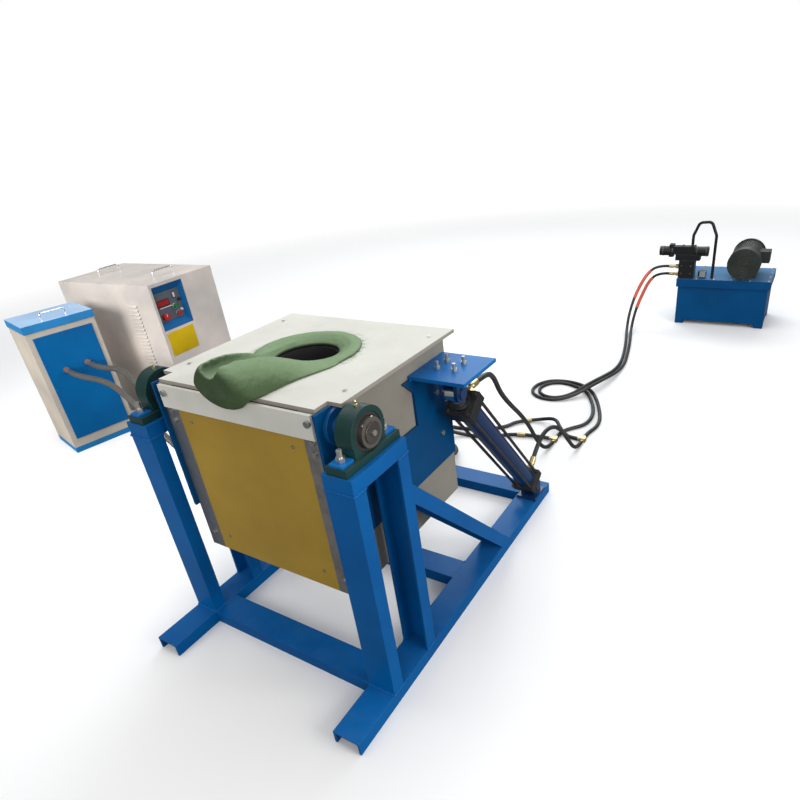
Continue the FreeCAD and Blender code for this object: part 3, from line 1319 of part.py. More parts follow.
def oil_tank():
    x1 = TANK_X + TANK_WIDTH
    y1 = TANK_Y + TANK_DEPTH
    rim_bottom = TANK_TOP - TANK_RIM
    lid_bottom = TANK_TOP - TANK_LID_THICK
    out = TANK_INSET
    deep = TANK_INSET + TANK_WALL
    thin = TANK_LID_WALL
    body = box(TANK_X + out, x1 - out, TANK_Y + out, y1 - out, TANK_LEG, lid_bottom)
    room = box(TANK_X + deep, x1 - deep, TANK_Y + deep, y1 - deep, TANK_LEG + TANK_WALL, TANK_TOP)
    lid = box(TANK_X, x1, TANK_Y, y1, rim_bottom, TANK_TOP)
    under = box(TANK_X + thin, x1 - thin, TANK_Y + thin, y1 - thin, rim_bottom - 1, lid_bottom)
    neck = rod(NECK_RADIUS, vec(*FILLER_PLACE, TANK_TOP - 1), vec(*FILLER_PLACE, TANK_TOP + NECK_HEIGHT))
    solids = [body.cut(room), lid.cut(under).fuse(neck)]
    size = TANK_FOOT_SIZE
    for x in (TANK_X + out, x1 - out - size):
        for y in (TANK_Y + out, y1 - out - size):
            solids.append(box(x, x + size, y, y + size, 0, TANK_LEG))
    return solids


def pump_motor():
    front = MOTOR_FRONT
    cowl = MOTOR_FRONT + COWL_LENGTH
    end = MOTOR_FRONT + MOTOR_LENGTH

    def round_part(radius, start_y, end_y):
        return rod(radius, vec(MOTOR_X, start_y, MOTOR_Z), vec(MOTOR_X, end_y, MOTOR_Z))

    shape = round_part(MOTOR_RADIUS, front, cowl).fuse(round_part(MOTOR_RADIUS - COWL_WALL, cowl - 1, end))
    for start in MOTOR_FOOT_STARTS:
        x = MOTOR_X + start
        foot = box(x, x + MOTOR_FOOT_WIDTH, cowl + MOTOR_FOOT_INSET, end - MOTOR_FOOT_INSET,
                   TANK_TOP, MOTOR_Z - MOTOR_FOOT_DROP)
        shape = shape.fuse(foot)
    terminals = box(MOTOR_X + TERMINAL_BOX_X[0], MOTOR_X + TERMINAL_BOX_X[1],
                    cowl + TERMINAL_BOX_Y[0], cowl + TERMINAL_BOX_Y[1],
                    MOTOR_Z + TERMINAL_BOX_Z[0], MOTOR_Z + TERMINAL_BOX_Z[1])
    flange = round_part(MOTOR_RADIUS + MOTOR_FLANGE_WALL, end - MOTOR_FLANGE_LENGTH, end)
    pump = round_part(PUMP_RADIUS, end - 1, end + PUMP_LENGTH)
    shape = shape.fuse(terminals).fuse(flange).fuse(pump)
    return [shape.removeSplitter()]


def valve_block():
    blocks = [box(x0, x1, VALVE_Y - half, VALVE_Y + half, low, high) for x0, x1, half, low, high in VALVE_BLOCKS]
    shape = blocks[0]
    for block in blocks[1:]:
        shape = shape.fuse(block)
    for x0, x1 in SOLENOID_SPANS:
        shape = shape.fuse(rod(SOLENOID_RADIUS, vec(x0, VALVE_Y, SOLENOID_Z), vec(x1, VALVE_Y, SOLENOID_Z)))
    arch = [vec(x, VALVE_Y, z) for x, z in OIL_PIPE_ROUTE]
    pipe = swept_tube(route_edges(arch, OIL_PIPE_BEND)[0], OIL_PIPE_RADIUS)[0]
    return [shape.removeSplitter(), pipe]


def filler_cap():
    low = TANK_TOP + CAP_RISE
    seat = TANK_TOP + NECK_HEIGHT
    cap = rod(CAP_RADIUS, vec(*FILLER_PLACE, low), vec(*FILLER_PLACE, seat + CAP_PROUD))
    bore = rod(NECK_RADIUS + RUNNING_GAP, vec(*FILLER_PLACE, low - 1), vec(*FILLER_PLACE, seat + CAP_SEAT_GAP))
    return [cap.cut(bore)]


PARTS = [
    base_rails, cross_members, stand_posts, stand_beams, stand_braces,
    bearing_housings, bearing_outer_rings, bearing_pads, bearing_bolts,
    trunnion_shafts, bearing_inner_rings, side_plates, lift_brackets,
    lid_board, front_apron, front_panel, corner_strips, body_panels, bottom_board, furnace_fasteners,
    crucible, lining, pouring_spout,
    cylinder_brackets, rod_clevises, hose_couplings,
    box_shell, box_lid, box_panel, lead_lugs, top_handles,
    cabinet_shell, control_panel,
    oil_tank, pump_motor, valve_block, filler_cap]

for part in PARTS:
    save(part.__name__, part())

coil = induction_coil()
save("induction_coil", coil)
save("coil_columns", coil_columns(coil[0]))

for piece, build in (("barrel", cylinder_barrel), ("caps", cylinder_caps), ("tie_rods", cylinder_tie_rods),
                     ("piston_rod", piston_rod), ("fittings", cylinder_fittings)):
    solids = build()
    save("right_" + piece, solids)
    save("left_" + piece, [mirrored(solid) for solid in solids])

save("start_button", [panel_control(START_PLACE, BUTTON_HEAD)])
save("stop_button", [panel_control(STOP_PLACE, BUTTON_HEAD)])
save("power_knob", [panel_control(KNOB_PLACE, KNOB_HEAD)])

hoses()
leads()

print(f"cylinder pivot to pivot, closed: {CLOSED_LENGTH:.1f}, lean {CYLINDER_LEAN:.2f} degrees")
print(f"tilt axis at y {AXIS_Y:.1f}, z {AXIS_Z:.1f}")
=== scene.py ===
# %% [markdown]
# # A tilting induction melting furnace
# The furnace hangs on two pillow blocks in a welded stand. Two hydraulic cylinders tip it
# over its pouring spout. Around it stand the oil unit, the capacitor box with its two
# water-cooled leads, and the power cabinet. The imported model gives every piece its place.
# These cells add finishes, cords and the small parts that carry no load.

import math

import bmesh
import bpy
from mathutils import Matrix, Vector


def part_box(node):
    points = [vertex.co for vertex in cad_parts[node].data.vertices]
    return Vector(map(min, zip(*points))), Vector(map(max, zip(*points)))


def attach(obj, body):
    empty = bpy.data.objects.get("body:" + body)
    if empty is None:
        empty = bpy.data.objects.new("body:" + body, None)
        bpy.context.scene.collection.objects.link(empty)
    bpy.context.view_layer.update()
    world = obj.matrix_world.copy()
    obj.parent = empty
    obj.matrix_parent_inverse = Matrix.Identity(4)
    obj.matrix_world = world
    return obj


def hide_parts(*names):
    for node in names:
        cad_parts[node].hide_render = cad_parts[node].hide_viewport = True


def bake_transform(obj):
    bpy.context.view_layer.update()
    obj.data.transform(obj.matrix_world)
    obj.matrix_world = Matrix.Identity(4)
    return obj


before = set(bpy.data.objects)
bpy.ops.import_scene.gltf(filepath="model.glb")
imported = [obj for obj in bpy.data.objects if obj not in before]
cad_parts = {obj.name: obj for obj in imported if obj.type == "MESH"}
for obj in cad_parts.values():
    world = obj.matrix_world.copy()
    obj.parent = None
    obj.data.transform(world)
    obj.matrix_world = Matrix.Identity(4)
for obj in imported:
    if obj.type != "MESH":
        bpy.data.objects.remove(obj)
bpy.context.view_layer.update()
scene = bpy.context.scene

# %% [markdown]
# ## The camera
# The photograph was taken by hand with a wide lens, so the camera leans a little and the
# middle of its view is off the middle of the frame. A lens shift says the second.

# %% Camera
CAMERA_PLACE = Vector((1.3537, -0.9093, 1.6327))
CAMERA_AZIMUTH = math.radians(33.6)
CAMERA_ELEVATION = math.radians(28.6)
CAMERA_ROLL = math.radians(-6.4)
IMAGE_SIDE = 800
FOCAL_PIXELS = 592.3
AXIS_PIXEL = (442.5, 434.5)
SENSOR = 36.0


def camera_turn(azimuth, elevation, roll):
    back = Vector((math.sin(azimuth) * math.cos(elevation),
                   -math.cos(azimuth) * math.cos(elevation), math.sin(elevation)))
    right = Vector((math.cos(azimuth), math.sin(azimuth), 0))
    up = back.cross(right)
    across = right * math.cos(roll) + up * math.sin(roll)
    upright = up * math.cos(roll) - right * math.sin(roll)
    return Matrix((across, upright, back)).transposed()


lens = bpy.data.cameras.new("photo_camera")
lens.sensor_width = SENSOR
lens.lens = FOCAL_PIXELS * SENSOR / IMAGE_SIDE
lens.shift_x = (IMAGE_SIDE / 2 - AXIS_PIXEL[0]) / IMAGE_SIDE
lens.shift_y = (AXIS_PIXEL[1] - IMAGE_SIDE / 2) / IMAGE_SIDE
lens.clip_end = 60
camera = bpy.data.objects.new("photo_camera", lens)
turn = camera_turn(CAMERA_AZIMUTH, CAMERA_ELEVATION, CAMERA_ROLL)
camera.matrix_world = Matrix.Translation(CAMERA_PLACE) @ turn.to_4x4()
scene.collection.objects.link(camera)
scene.camera = camera
print("lens", round(lens.lens, 2), "mm")

# %% [markdown]
# ## Nodes, groups and materials
# A material is a small graph. Effects that several finishes share are node groups with
# named inputs, built once: worn coating, mottled grain, brushed lines. The shader itself
# stays in each material.

# %% Helpers for shader graphs
scene.view_settings.view_transform = "Standard"
NOISE = "ShaderNodeTexNoise"
COLOUR = "NodeSocketColor"
NUMBER = "NodeSocketFloat"
VECTOR = "NodeSocketVector"


class Graph:
    """A node tree with short ways to add and join nodes."""

    def __init__(self, tree):
        self.tree = tree

    def add(self, kind, **settings):
        node = self.tree.nodes.new(kind)
        for key, value in settings.items():
            setattr(node, key, value)
        return node

    def put(self, source, target):
        if hasattr(source, "is_output"):
            self.tree.links.new(source, target)
        else:
            target.default_value = source

    def maths(self, operation, a, b, clamp=False):
        node = self.add("ShaderNodeMath", operation=operation, use_clamp=clamp)
        self.put(a, node.inputs[0])
        self.put(b, node.inputs[1])
        return node.outputs[0]

    def blend(self, share, a, b, kind="MIX"):
        node = self.add("ShaderNodeMix", data_type="RGBA", blend_type=kind)
        self.put(share, node.inputs["Factor"])
        self.put(a, node.inputs["A"])
        self.put(b, node.inputs["B"])
        return node.outputs["Result"]

    def band(self, value, low, high, to_low=0.0, to_high=1.0):
        node = self.add("ShaderNodeMapRange")
        for socket, number in zip(node.inputs, (value, low, high, to_low, to_high)):
            self.put(number, socket)
        return node.outputs[0]

    def noise(self, place, scale, detail=3.0, rough=0.55):
        node = self.add(NOISE)
        self.put(place, node.inputs["Vector"])
        self.put(scale, node.inputs["Scale"])
        self.put(detail, node.inputs["Detail"])
        self.put(rough, node.inputs["Roughness"])
        return node.outputs["Fac"]

    def stretched(self, place, scales):
        node = self.add("ShaderNodeMapping")
        self.put(place, node.inputs["Vector"])
        node.inputs["Scale"].default_value = scales
        return node.outputs["Vector"]

    def place(self):
        return self.add("ShaderNodeTexCoord").outputs["Object"]

    def bump(self, height, strength, distance, normal=None):
        node = self.add("ShaderNodeBump")
        self.put(height, node.inputs["Height"])
        self.put(strength, node.inputs["Strength"])
        self.put(distance, node.inputs["Distance"])
        if normal is not None:
            self.put(normal, node.inputs["Normal"])
        return node.outputs["Normal"]


def shader_group(name, inputs, outputs):
    tree = bpy.data.node_groups.new(name, "ShaderNodeTree")
    for label, kind, value in inputs:
        socket = tree.interface.new_socket(label, in_out="INPUT", socket_type=kind)
        if value is not None:
            socket.default_value = value
    for label, kind in outputs:
        tree.interface.new_socket(label, in_out="OUTPUT", socket_type=kind)
    graph = Graph(tree)
    start = graph.add("NodeGroupInput")
    end = graph.add("NodeGroupOutput")
    return graph, start.outputs, end.inputs


def colour(red, green, blue):
    return (red, green, blue, 1.0)


# %% [markdown]
# ## Worn coating
# Paint wears off at edges, and dust settles on faces that look up. A Bevel node finds the
# edges: where its rounded normal leaves the true one, there is a corner. The same rounded
# normal also gives every sharp CAD edge the small radius that paint and steel have.

# %% Shared group: worn coating
EDGE_RADIUS = 0.0025


def make_worn_coating():
    graph, given, out = shader_group(
        "worn_coating",
        [("Coat", COLOUR, None), ("Under", COLOUR, None), ("Dust", COLOUR, None), ("Edge Wear", NUMBER, 0.4),
         ("Dust Amount", NUMBER, 0.3), ("Rough", NUMBER, 0.4), ("Grain", NUMBER, 60.0), ("Orange Peel", NUMBER, 0.1)],
        [("Color", COLOUR), ("Roughness", NUMBER), ("Bare", NUMBER), ("Normal", VECTOR)])
    place = graph.place()
    truth = graph.add("ShaderNodeNewGeometry")
    bevel = graph.add("ShaderNodeBevel", samples=4)
    bevel.inputs["Radius"].default_value = EDGE_RADIUS
    match = graph.add("ShaderNodeVectorMath", operation="DOT_PRODUCT")
    graph.put(bevel.outputs[0], match.inputs[0])
    graph.put(truth.outputs["Normal"], match.inputs[1])
    corner = graph.band(match.outputs["Value"], 0.97, 0.80)
    patchy = graph.band(graph.noise(place, given["Grain"], 6.0, 0.7), 0.42, 0.62)
    chips = graph.maths("MULTIPLY", corner, patchy)
    bare = graph.maths("MULTIPLY", chips, given["Edge Wear"], clamp=True)
    tone = graph.noise(place, 3.0, 4.0)
    darker = graph.blend(1.0, given["Coat"], colour(0.72, 0.74, 0.78), "MULTIPLY")
    coat = graph.blend(graph.band(tone, 0.35, 0.68), darker, given["Coat"])
    up = graph.add("ShaderNodeSeparateXYZ")
    graph.put(truth.outputs["Normal"], up.inputs[0])
    facing_up = graph.band(up.outputs["Z"], 0.4, 1.0)
    settled = graph.band(graph.noise(place, 14.0, 5.0, 0.65), 0.38, 0.75, 0.15, 1.0)
    smears = graph.band(graph.noise(graph.stretched(place, (9.0, 9.0, 2.0)), 1.0, 5.0, 0.7), 0.56, 0.76, 0.0, 0.22)
    dust = graph.maths("ADD", graph.maths("MULTIPLY", facing_up, settled), smears, clamp=True)
    dust = graph.maths("MULTIPLY", dust, given["Dust Amount"], clamp=True)
    dusty = graph.blend(dust, coat, given["Dust"])
    graph.put(graph.blend(bare, dusty, given["Under"]), out["Color"])
    graph.put(graph.maths("ADD", given["Rough"], graph.maths("MULTIPLY", dust, 0.35), clamp=True), out["Roughness"])
    graph.put(bare, out["Bare"])
    peel = graph.noise(place, 260.0, 2.0)
    graph.put(graph.bump(peel, given["Orange Peel"], 0.0008, bevel.outputs[0]), out["Normal"])
    return graph.tree


def make_mottled_grain():
    graph, given, out = shader_group(
        "mottled_grain",
        [("Light", COLOUR, None), ("Dark", COLOUR, None), ("Stain", COLOUR, None), ("Patch Size", NUMBER, 8.0),
         ("Grain", NUMBER, 220.0), ("Stain Amount", NUMBER, 0.3)],
        [("Color", COLOUR), ("Height", NUMBER), ("Patches", NUMBER)])
    place = graph.place()
    patches = graph.noise(place, given["Patch Size"], 6.0, 0.62)
    fine = graph.noise(place, given["Grain"], 3.0, 0.7)
    share = graph.band(graph.maths("ADD", graph.maths("MULTIPLY", patches, 0.75), graph.maths("MULTIPLY", fine, 0.25)),
                       0.36, 0.64)
    mixed = graph.blend(share, given["Dark"], given["Light"])
    spots = graph.band(graph.noise(place, graph.maths("MULTIPLY", given["Patch Size"], 2.6), 5.0, 0.7), 0.60, 0.74)
    stain = graph.maths("MULTIPLY", spots, given["Stain Amount"], clamp=True)
    graph.put(graph.blend(stain, mixed, given["Stain"]), out["Color"])
    graph.put(graph.maths("ADD", graph.maths("MULTIPLY", fine, 0.5), graph.maths("MULTIPLY", patches, 0.5)), out["Height"])
    graph.put(patches, out["Patches"])
    return graph.tree


def make_brushed_lines():
    graph, given, out = shader_group(
        "brushed_lines",
        [("Metal", COLOUR, None), ("Tarnish", COLOUR, None), ("Rough", NUMBER, 0.3), ("Tarnish Amount", NUMBER, 0.3),
         ("Line Size", NUMBER, 1.0)],
        [("Color", COLOUR), ("Roughness", NUMBER), ("Height", NUMBER)])
    place = graph.place()
    lines = graph.noise(graph.stretched(place, (40.0, 40.0, 900.0)), given["Line Size"], 2.0, 0.6)
    cloud = graph.band(graph.noise(place, 22.0, 5.0, 0.65), 0.40, 0.70)
    tarnish = graph.maths("MULTIPLY", cloud, given["Tarnish Amount"], clamp=True)
    graph.put(graph.blend(tarnish, given["Metal"], given["Tarnish"]), out["Color"])
    worn = graph.maths("ADD", graph.maths("MULTIPLY", lines, 0.16), graph.maths("MULTIPLY", tarnish, 0.3))
    graph.put(graph.maths("ADD", given["Rough"], worn, clamp=True), out["Roughness"])
    graph.put(lines, out["Height"])
    return graph.tree


WORN_COATING = make_worn_coating()
MOTTLED_GRAIN = make_mottled_grain()
BRUSHED_LINES = make_brushed_lines()
print("groups", [group.name for group in (WORN_COATING, MOTTLED_GRAIN, BRUSHED_LINES)])

# %% [markdown]
# ## The finishes
# Every finish is a function of a few plain values: paint for steel, cast iron and sheet,
# board for the lid, refractory for the spout, bare metal, rubber and plastic. Dust is the
# same workshop dust everywhere.

# %% Finishes
WORKSHOP_DUST = colour(0.42, 0.39, 0.34)
BARE_STEEL = colour(0.46, 0.45, 0.43)
RUSTY_STEEL = colour(0.20, 0.13, 0.09)


def new_material(name):
    made = bpy.data.materials.new(name)
    made.use_nodes = True
    graph = Graph(made.node_tree)
    shader = made.node_tree.nodes["Principled BSDF"]
    return made, graph, shader.inputs


def use_group(graph, group, **values):
    node = graph.add("ShaderNodeGroup", node_tree=group)
    for label, value in values.items():
        graph.put(value, node.inputs[label.replace("_", " ")])
    return node.outputs


def painted(name, coat, rough=0.38, wear=0.35, dust=0.3, peel=0.12, gloss=0.5, clear=0.0, under=BARE_STEEL):
    made, graph, socket = new_material(name)
    worn = use_group(graph, WORN_COATING, Coat=coat, Under=under, Dust=WORKSHOP_DUST, Edge_Wear=wear,
                     Dust_Amount=dust, Rough=rough, Orange_Peel=peel)
    graph.put(worn["Color"], socket["Base Color"])
    graph.put(worn["Roughness"], socket["Roughness"])
    graph.put(worn["Bare"], socket["Metallic"])
    graph.put(worn["Normal"], socket["Normal"])
    socket["Specular IOR Level"].default_value = gloss
    socket["Coat Weight"].default_value = clear
    socket["Coat Roughness"].default_value = 0.12
    return made


def cast(name, coat, rough=0.42, wear=0.25, dust=0.3, lumps=0.5):
    made, graph, socket = new_material(name)
    socket["Specular IOR Level"].default_value = 0.35
    worn = use_group(graph, WORN_COATING, Coat=coat, Under=RUSTY_STEEL, Dust=WORKSHOP_DUST, Edge_Wear=wear,
                     Dust_Amount=dust, Rough=rough, Orange_Peel=0.0)
    graph.put(worn["Color"], socket["Base Color"])
    graph.put(worn["Roughness"], socket["Roughness"])
    sand = graph.noise(graph.place(), 240.0, 4.0, 0.7)
    graph.put(graph.bump(sand, lumps, 0.0012, worn["Normal"]), socket["Normal"])
    return made


def board(name, light, dark, stain, patch=7.0, rough=0.7, stains=0.3, relief=0.25):
    made, graph, socket = new_material(name)
    grain = use_group(graph, MOTTLED_GRAIN, Light=light, Dark=dark, Stain=stain, Patch_Size=patch, Stain_Amount=stains)
    graph.put(grain["Color"], socket["Base Color"])
    graph.put(graph.band(grain["Patches"], 0.3, 0.7, rough - 0.1, rough + 0.08), socket["Roughness"])
    graph.put(graph.bump(grain["Height"], relief, 0.0008), socket["Normal"])
    return made


def metal(name, tint, tarnish, rough=0.28, stained=0.35, lines=0.08):
    made, graph, socket = new_material(name)
    brushed = use_group(graph, BRUSHED_LINES, Metal=tint, Tarnish=tarnish, Rough=rough, Tarnish_Amount=stained)
    graph.put(brushed["Color"], socket["Base Color"])
    graph.put(brushed["Roughness"], socket["Roughness"])
    socket["Metallic"].default_value = 1.0
    bevel = graph.add("ShaderNodeBevel", samples=4)
    bevel.inputs["Radius"].default_value = 0.0008
    graph.put(graph.bump(brushed["Height"], lines, 0.0003, bevel.outputs[0]), socket["Normal"])
    return made


def plastic(name, tint, rough=0.3, dust=0.12):
    made, graph, socket = new_material(name)
    worn = use_group(graph, WORN_COATING, Coat=tint, Under=tint, Dust=WORKSHOP_DUST, Edge_Wear=0.0,
                     Dust_Amount=dust, Rough=rough, Orange_Peel=0.05)
    graph.put(worn["Color"], socket["Base Color"])
    graph.put(worn["Roughness"], socket["Roughness"])
    graph.put(worn["Normal"], socket["Normal"])
    return made


FRAME_BLUE = painted("frame_blue", colour(0.0, 0.120, 0.385), rough=0.34, gloss=0.16, dust=0.03, wear=0.14)
PLATE_BLUE = painted("plate_blue", colour(0.0, 0.068, 0.20), rough=0.36, gloss=0.12, dust=0.03, wear=0.12)
BRACKET_BLUE = painted("bracket_blue", colour(0.0, 0.15, 0.46), rough=0.42, gloss=0.2, clear=0.0, dust=0.03, wear=0.12)
TANK_BLUE = painted("tank_blue", colour(0.0, 0.085, 0.28), rough=0.34, gloss=0.18, clear=0.05, dust=0.06, wear=0.12)
BARREL_BLUE = painted("barrel_blue", colour(0.002, 0.030, 0.115), rough=0.28, gloss=0.4, clear=0.15, dust=0.02, wear=0.1)
BOX_BLUE = painted("box_blue", colour(0.0, 0.125, 0.36), rough=0.36, gloss=0.16, dust=0.03, wear=0.08)
LID_BLUE = painted("lid_blue", colour(0.16, 0.36, 0.62), rough=0.36, gloss=0.3, dust=0.12, wear=0.15)
PANEL_BLUE = painted("panel_blue", colour(0.0, 0.11, 0.33), rough=0.45, gloss=0.2, dust=0.02, wear=0.05)
CABINET_IVORY = painted("cabinet_ivory", colour(0.66, 0.635, 0.55), rough=0.5, gloss=0.3, dust=0.06, wear=0.1, peel=0.3)
FRONT_GREY = painted("front_grey", colour(0.66, 0.595, 0.54), rough=0.48, gloss=0.3, dust=0.06, wear=0.1, peel=0.3)
SPRUNG_GREY = painted("panel_grey", colour(0.105, 0.118, 0.145), rough=0.5, dust=0.05, wear=0.1)
SIGN_YELLOW = painted("sign_yellow", colour(0.62, 0.42, 0.002), rough=0.5, gloss=0.2, dust=0.0, wear=0.0)
BLOCK_GREEN = cast("block_green", colour(0.010, 0.048, 0.042), rough=0.30, dust=0.08)
BLOCK_BLACK = cast("block_black", colour(0.012, 0.013, 0.014), rough=0.38, dust=0.2, wear=0.35)
MOTOR_GREY = cast("motor_grey", colour(0.032, 0.042, 0.036), rough=0.45, dust=0.35)
LID_BOARD = board("lid_board", colour(0.70, 0.695, 0.635), colour(0.61, 0.60, 0.535), colour(0.45, 0.42, 0.34), patch=4.0,
                  stains=0.16)
OCHRE_PANEL = board("ochre_panel", colour(0.44, 0.28, 0.030), colour(0.35, 0.215, 0.018), colour(0.22, 0.14, 0.03),
                    patch=3.0, rough=0.42, stains=0.2, relief=0.10)
BODY_GREY = board("body_grey", colour(0.28, 0.265, 0.225), colour(0.215, 0.20, 0.165), colour(0.13, 0.12, 0.10),
                  patch=2.4, rough=0.5, stains=0.25, relief=0.08)
PALE_LINING = board("pale_lining", colour(0.62, 0.57, 0.50), colour(0.48, 0.43, 0.36), colour(0.2, 0.17, 0.14), rough=0.85)
GRAPHITE = board("graphite", colour(0.018, 0.018, 0.019), colour(0.009, 0.009, 0.01), colour(0.05, 0.045, 0.04), rough=0.6)
COLUMN_BOARD = board("column_board", colour(0.42, 0.30, 0.14), colour(0.30, 0.20, 0.09), colour(0.1, 0.07, 0.04), patch=20.0)
BRIGHT_ZINC = metal("bright_zinc", colour(0.80, 0.80, 0.78), colour(0.42, 0.40, 0.36), rough=0.24, stained=0.4)
DULL_STEEL = metal("dull_steel", colour(0.30, 0.275, 0.25), colour(0.14, 0.11, 0.09), rough=0.36, stained=0.6)
FASTENER_ZINC = metal("fastener_zinc", colour(0.56, 0.57, 0.55), colour(0.30, 0.29, 0.26), rough=0.34, stained=0.5)
DARK_STEEL = metal("dark_steel", colour(0.16, 0.15, 0.15), colour(0.07, 0.06, 0.05), rough=0.34, stained=0.5)
CHROME = metal("chrome", colour(0.86, 0.87, 0.88), colour(0.6, 0.6, 0.6), rough=0.08, stained=0.15, lines=0.02)
BRASS = metal("brass", colour(0.78, 0.64, 0.34), colour(0.40, 0.30, 0.14), rough=0.26)
COPPER = metal("copper", colour(0.83, 0.47, 0.33), colour(0.42, 0.24, 0.17), rough=0.32, stained=0.5)
EDGE_ALUMINIUM = metal("edge_aluminium", colour(0.52, 0.50, 0.47), colour(0.26, 0.24, 0.21), rough=0.34, stained=0.55)
BLACK_PLASTIC = plastic("black_plastic", colour(0.015, 0.015, 0.016))
WHITE_PLASTIC = plastic("white_plastic", colour(0.75, 0.75, 0.74))
GREEN_PLASTIC = plastic("green_plastic", colour(0.01, 0.20, 0.06), rough=0.18)
RED_PLASTIC = plastic("red_plastic", colour(0.50, 0.018, 0.015), rough=0.18)
SLEEVE_RED = plastic("sleeve_red", colour(0.80, 0.115, 0.045), rough=0.38)
print("finishes", len(bpy.data.materials))

# %% [markdown]
# ## Which finish goes where
# A imported node keeps its mesh and only gets a better material. The box's shell has two paints, told apart by height,
# so no new piece is needed. The box's lid and the oil tank get a painted sheen: faces that look up are painted a
# lighter blue than the sides.

# %% Finishes on the imported nodes
BOX_BASE_TOP = 0.034
SHAFT_PAINT_END = 0.400
COLLAR_MIDDLE = (0.0, 0.390, 0.992)
apron_low, apron_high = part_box("front_apron")
APRON_MIDDLE = (apron_low[2] + apron_high[2]) / 2


def height_split(graph, height, below, above):
    split = graph.add("ShaderNodeSeparateXYZ")
    graph.put(graph.place(), split.inputs[0])
    return graph.blend(graph.band(split.outputs["Z"], height - 0.0005, height + 0.0005), below, above)


# Painted sheen: faces that look up get a lighter colour than the sides.
def sheen_on_top(graph, side, top):
    split = graph.add("ShaderNodeSeparateXYZ")
    graph.put(graph.add("ShaderNodeNewGeometry").outputs["Normal"], split.inputs[0])
    return graph.blend(graph.band(split.outputs["Z"], 0.6, 0.8), side, top)


# Puts a second colour into the worn coating: two-tone paint by height, or a painted sheen on faces that look up.
def with_two_tones_or_sheen(name, source, choose):
    made = source.copy()
    made.name = name
    graph = Graph(made.node_tree)
    for node in made.node_tree.nodes:
        if node.type == "GROUP" and node.node_tree == WORN_COATING:
            graph.put(choose(graph), node.inputs["Coat"])
            break
    return made


SHELL_PAINT = with_two_tones_or_sheen("shell_paint", CABINET_IVORY, lambda graph: height_split(
    graph, BOX_BASE_TOP, colour(0.01, 0.22, 0.52), colour(0.56, 0.50, 0.42)))
# Box lid and oil tank: painted sheen, a lighter blue on faces that look up.
BOX_LID_SHEEN = with_two_tones_or_sheen("box_lid_painted_sheen", LID_BLUE, lambda graph: sheen_on_top(
    graph, colour(0.02, 0.24, 0.56), colour(0.42, 0.62, 0.86)))
TANK_SHEEN = with_two_tones_or_sheen("tank_painted_sheen", TANK_BLUE, lambda graph: sheen_on_top(
    graph, colour(0.0, 0.082, 0.25), colour(0.10, 0.27, 0.50)))


# Side faces of a board are painted a darker brown: the board's raw edge colour together with painted shade.
def with_raw_shaded_edges(name, source, edge):
    made = source.copy()
    made.name = name
    graph = Graph(made.node_tree)
    base = made.node_tree.nodes["Principled BSDF"].inputs["Base Color"]
    face = base.links[0].from_socket
    split = graph.add("ShaderNodeSeparateXYZ")
    graph.put(graph.add("ShaderNodeNewGeometry").outputs["Normal"], split.inputs[0])
    flat = graph.band(graph.maths("ABSOLUTE", split.outputs["Z"], 0.0), 0.5, 0.8)
    graph.put(graph.blend(flat, edge, face), base)
    return made


# Lid board: raw edge colour and painted shade on its side faces.
LID_WITH_SHADED_EDGES = with_raw_shaded_edges("lid_with_shaded_edges", LID_BOARD, colour(0.30, 0.275, 0.235))


def add_smears(made, middle, start, end, tint):
    graph = Graph(made.node_tree)
    base = made.node_tree.nodes["Principled BSDF"].inputs["Base Color"]
    clean = base.links[0].from_socket
    place = graph.place()
    away = graph.add("ShaderNodeVectorMath", operation="DISTANCE")
    graph.put(place, away.inputs[0])
    away.inputs[1].default_value = middle
    near = graph.band(away.outputs["Value"], end, start)
    patchy = graph.band(graph.noise(place, 38.0, 6.0, 0.75), 0.46, 0.62)
    amount = graph.maths("MULTIPLY", near, patchy, clamp=True)
    graph.put(graph.blend(amount, clean, tint), base)


add_smears(LID_WITH_SHADED_EDGES, COLLAR_MIDDLE, 0.186, 0.212, colour(0.22, 0.33, 0.17))


def painted_shaft(name):
    made, graph, socket = new_material(name)
    split = graph.add("ShaderNodeSeparateXYZ")
    graph.put(graph.place(), split.inputs[0])
    bare = graph.band(graph.maths("ABSOLUTE", split.outputs["X"], 0.0), SHAFT_PAINT_END, SHAFT_PAINT_END + 0.001)
    worn = use_group(graph, WORN_COATING, Coat=colour(0.0, 0.085, 0.27), Under=BARE_STEEL, Dust=WORKSHOP_DUST,
                     Edge_Wear=0.3, Dust_Amount=0.03, Rough=0.28, Orange_Peel=0.1)
    brushed = use_group(graph, BRUSHED_LINES, Metal=colour(0.24, 0.22, 0.205), Tarnish=colour(0.11, 0.09, 0.075),
                        Rough=0.38, Tarnish_Amount=0.6)
    graph.put(graph.blend(bare, worn["Color"], brushed["Color"]), socket["Base Color"])
    graph.put(bare, socket["Metallic"])
    graph.put(worn["Normal"], socket["Normal"])
    socket["Roughness"].default_value = 0.32
    socket["Coat Weight"].default_value = 0.3
    return made


SHAFT_PAINT = painted_shaft("painted_shaft")


# Painted shade: the front panel above the apron's middle height, behind the apron, is painted near black.
def ochre_with_shaded_top():
    made = OCHRE_PANEL.copy()
    made.name = "ochre_with_shaded_top"
    graph = Graph(made.node_tree)
    base = made.node_tree.nodes["Principled BSDF"].inputs["Base Color"]
    face = base.links[0].from_socket
    split = graph.add("ShaderNodeSeparateXYZ")
    graph.put(graph.place(), split.inputs[0])
    shade_behind_apron = graph.band(split.outputs["Z"], APRON_MIDDLE, APRON_MIDDLE + 0.002)
    graph.put(graph.blend(shade_behind_apron, face, colour(0.05, 0.045, 0.04)), base)
    return made


# Ochre front panel with painted shade behind the apron.
OCHRE_FRONT_SHADED = ochre_with_shaded_top()

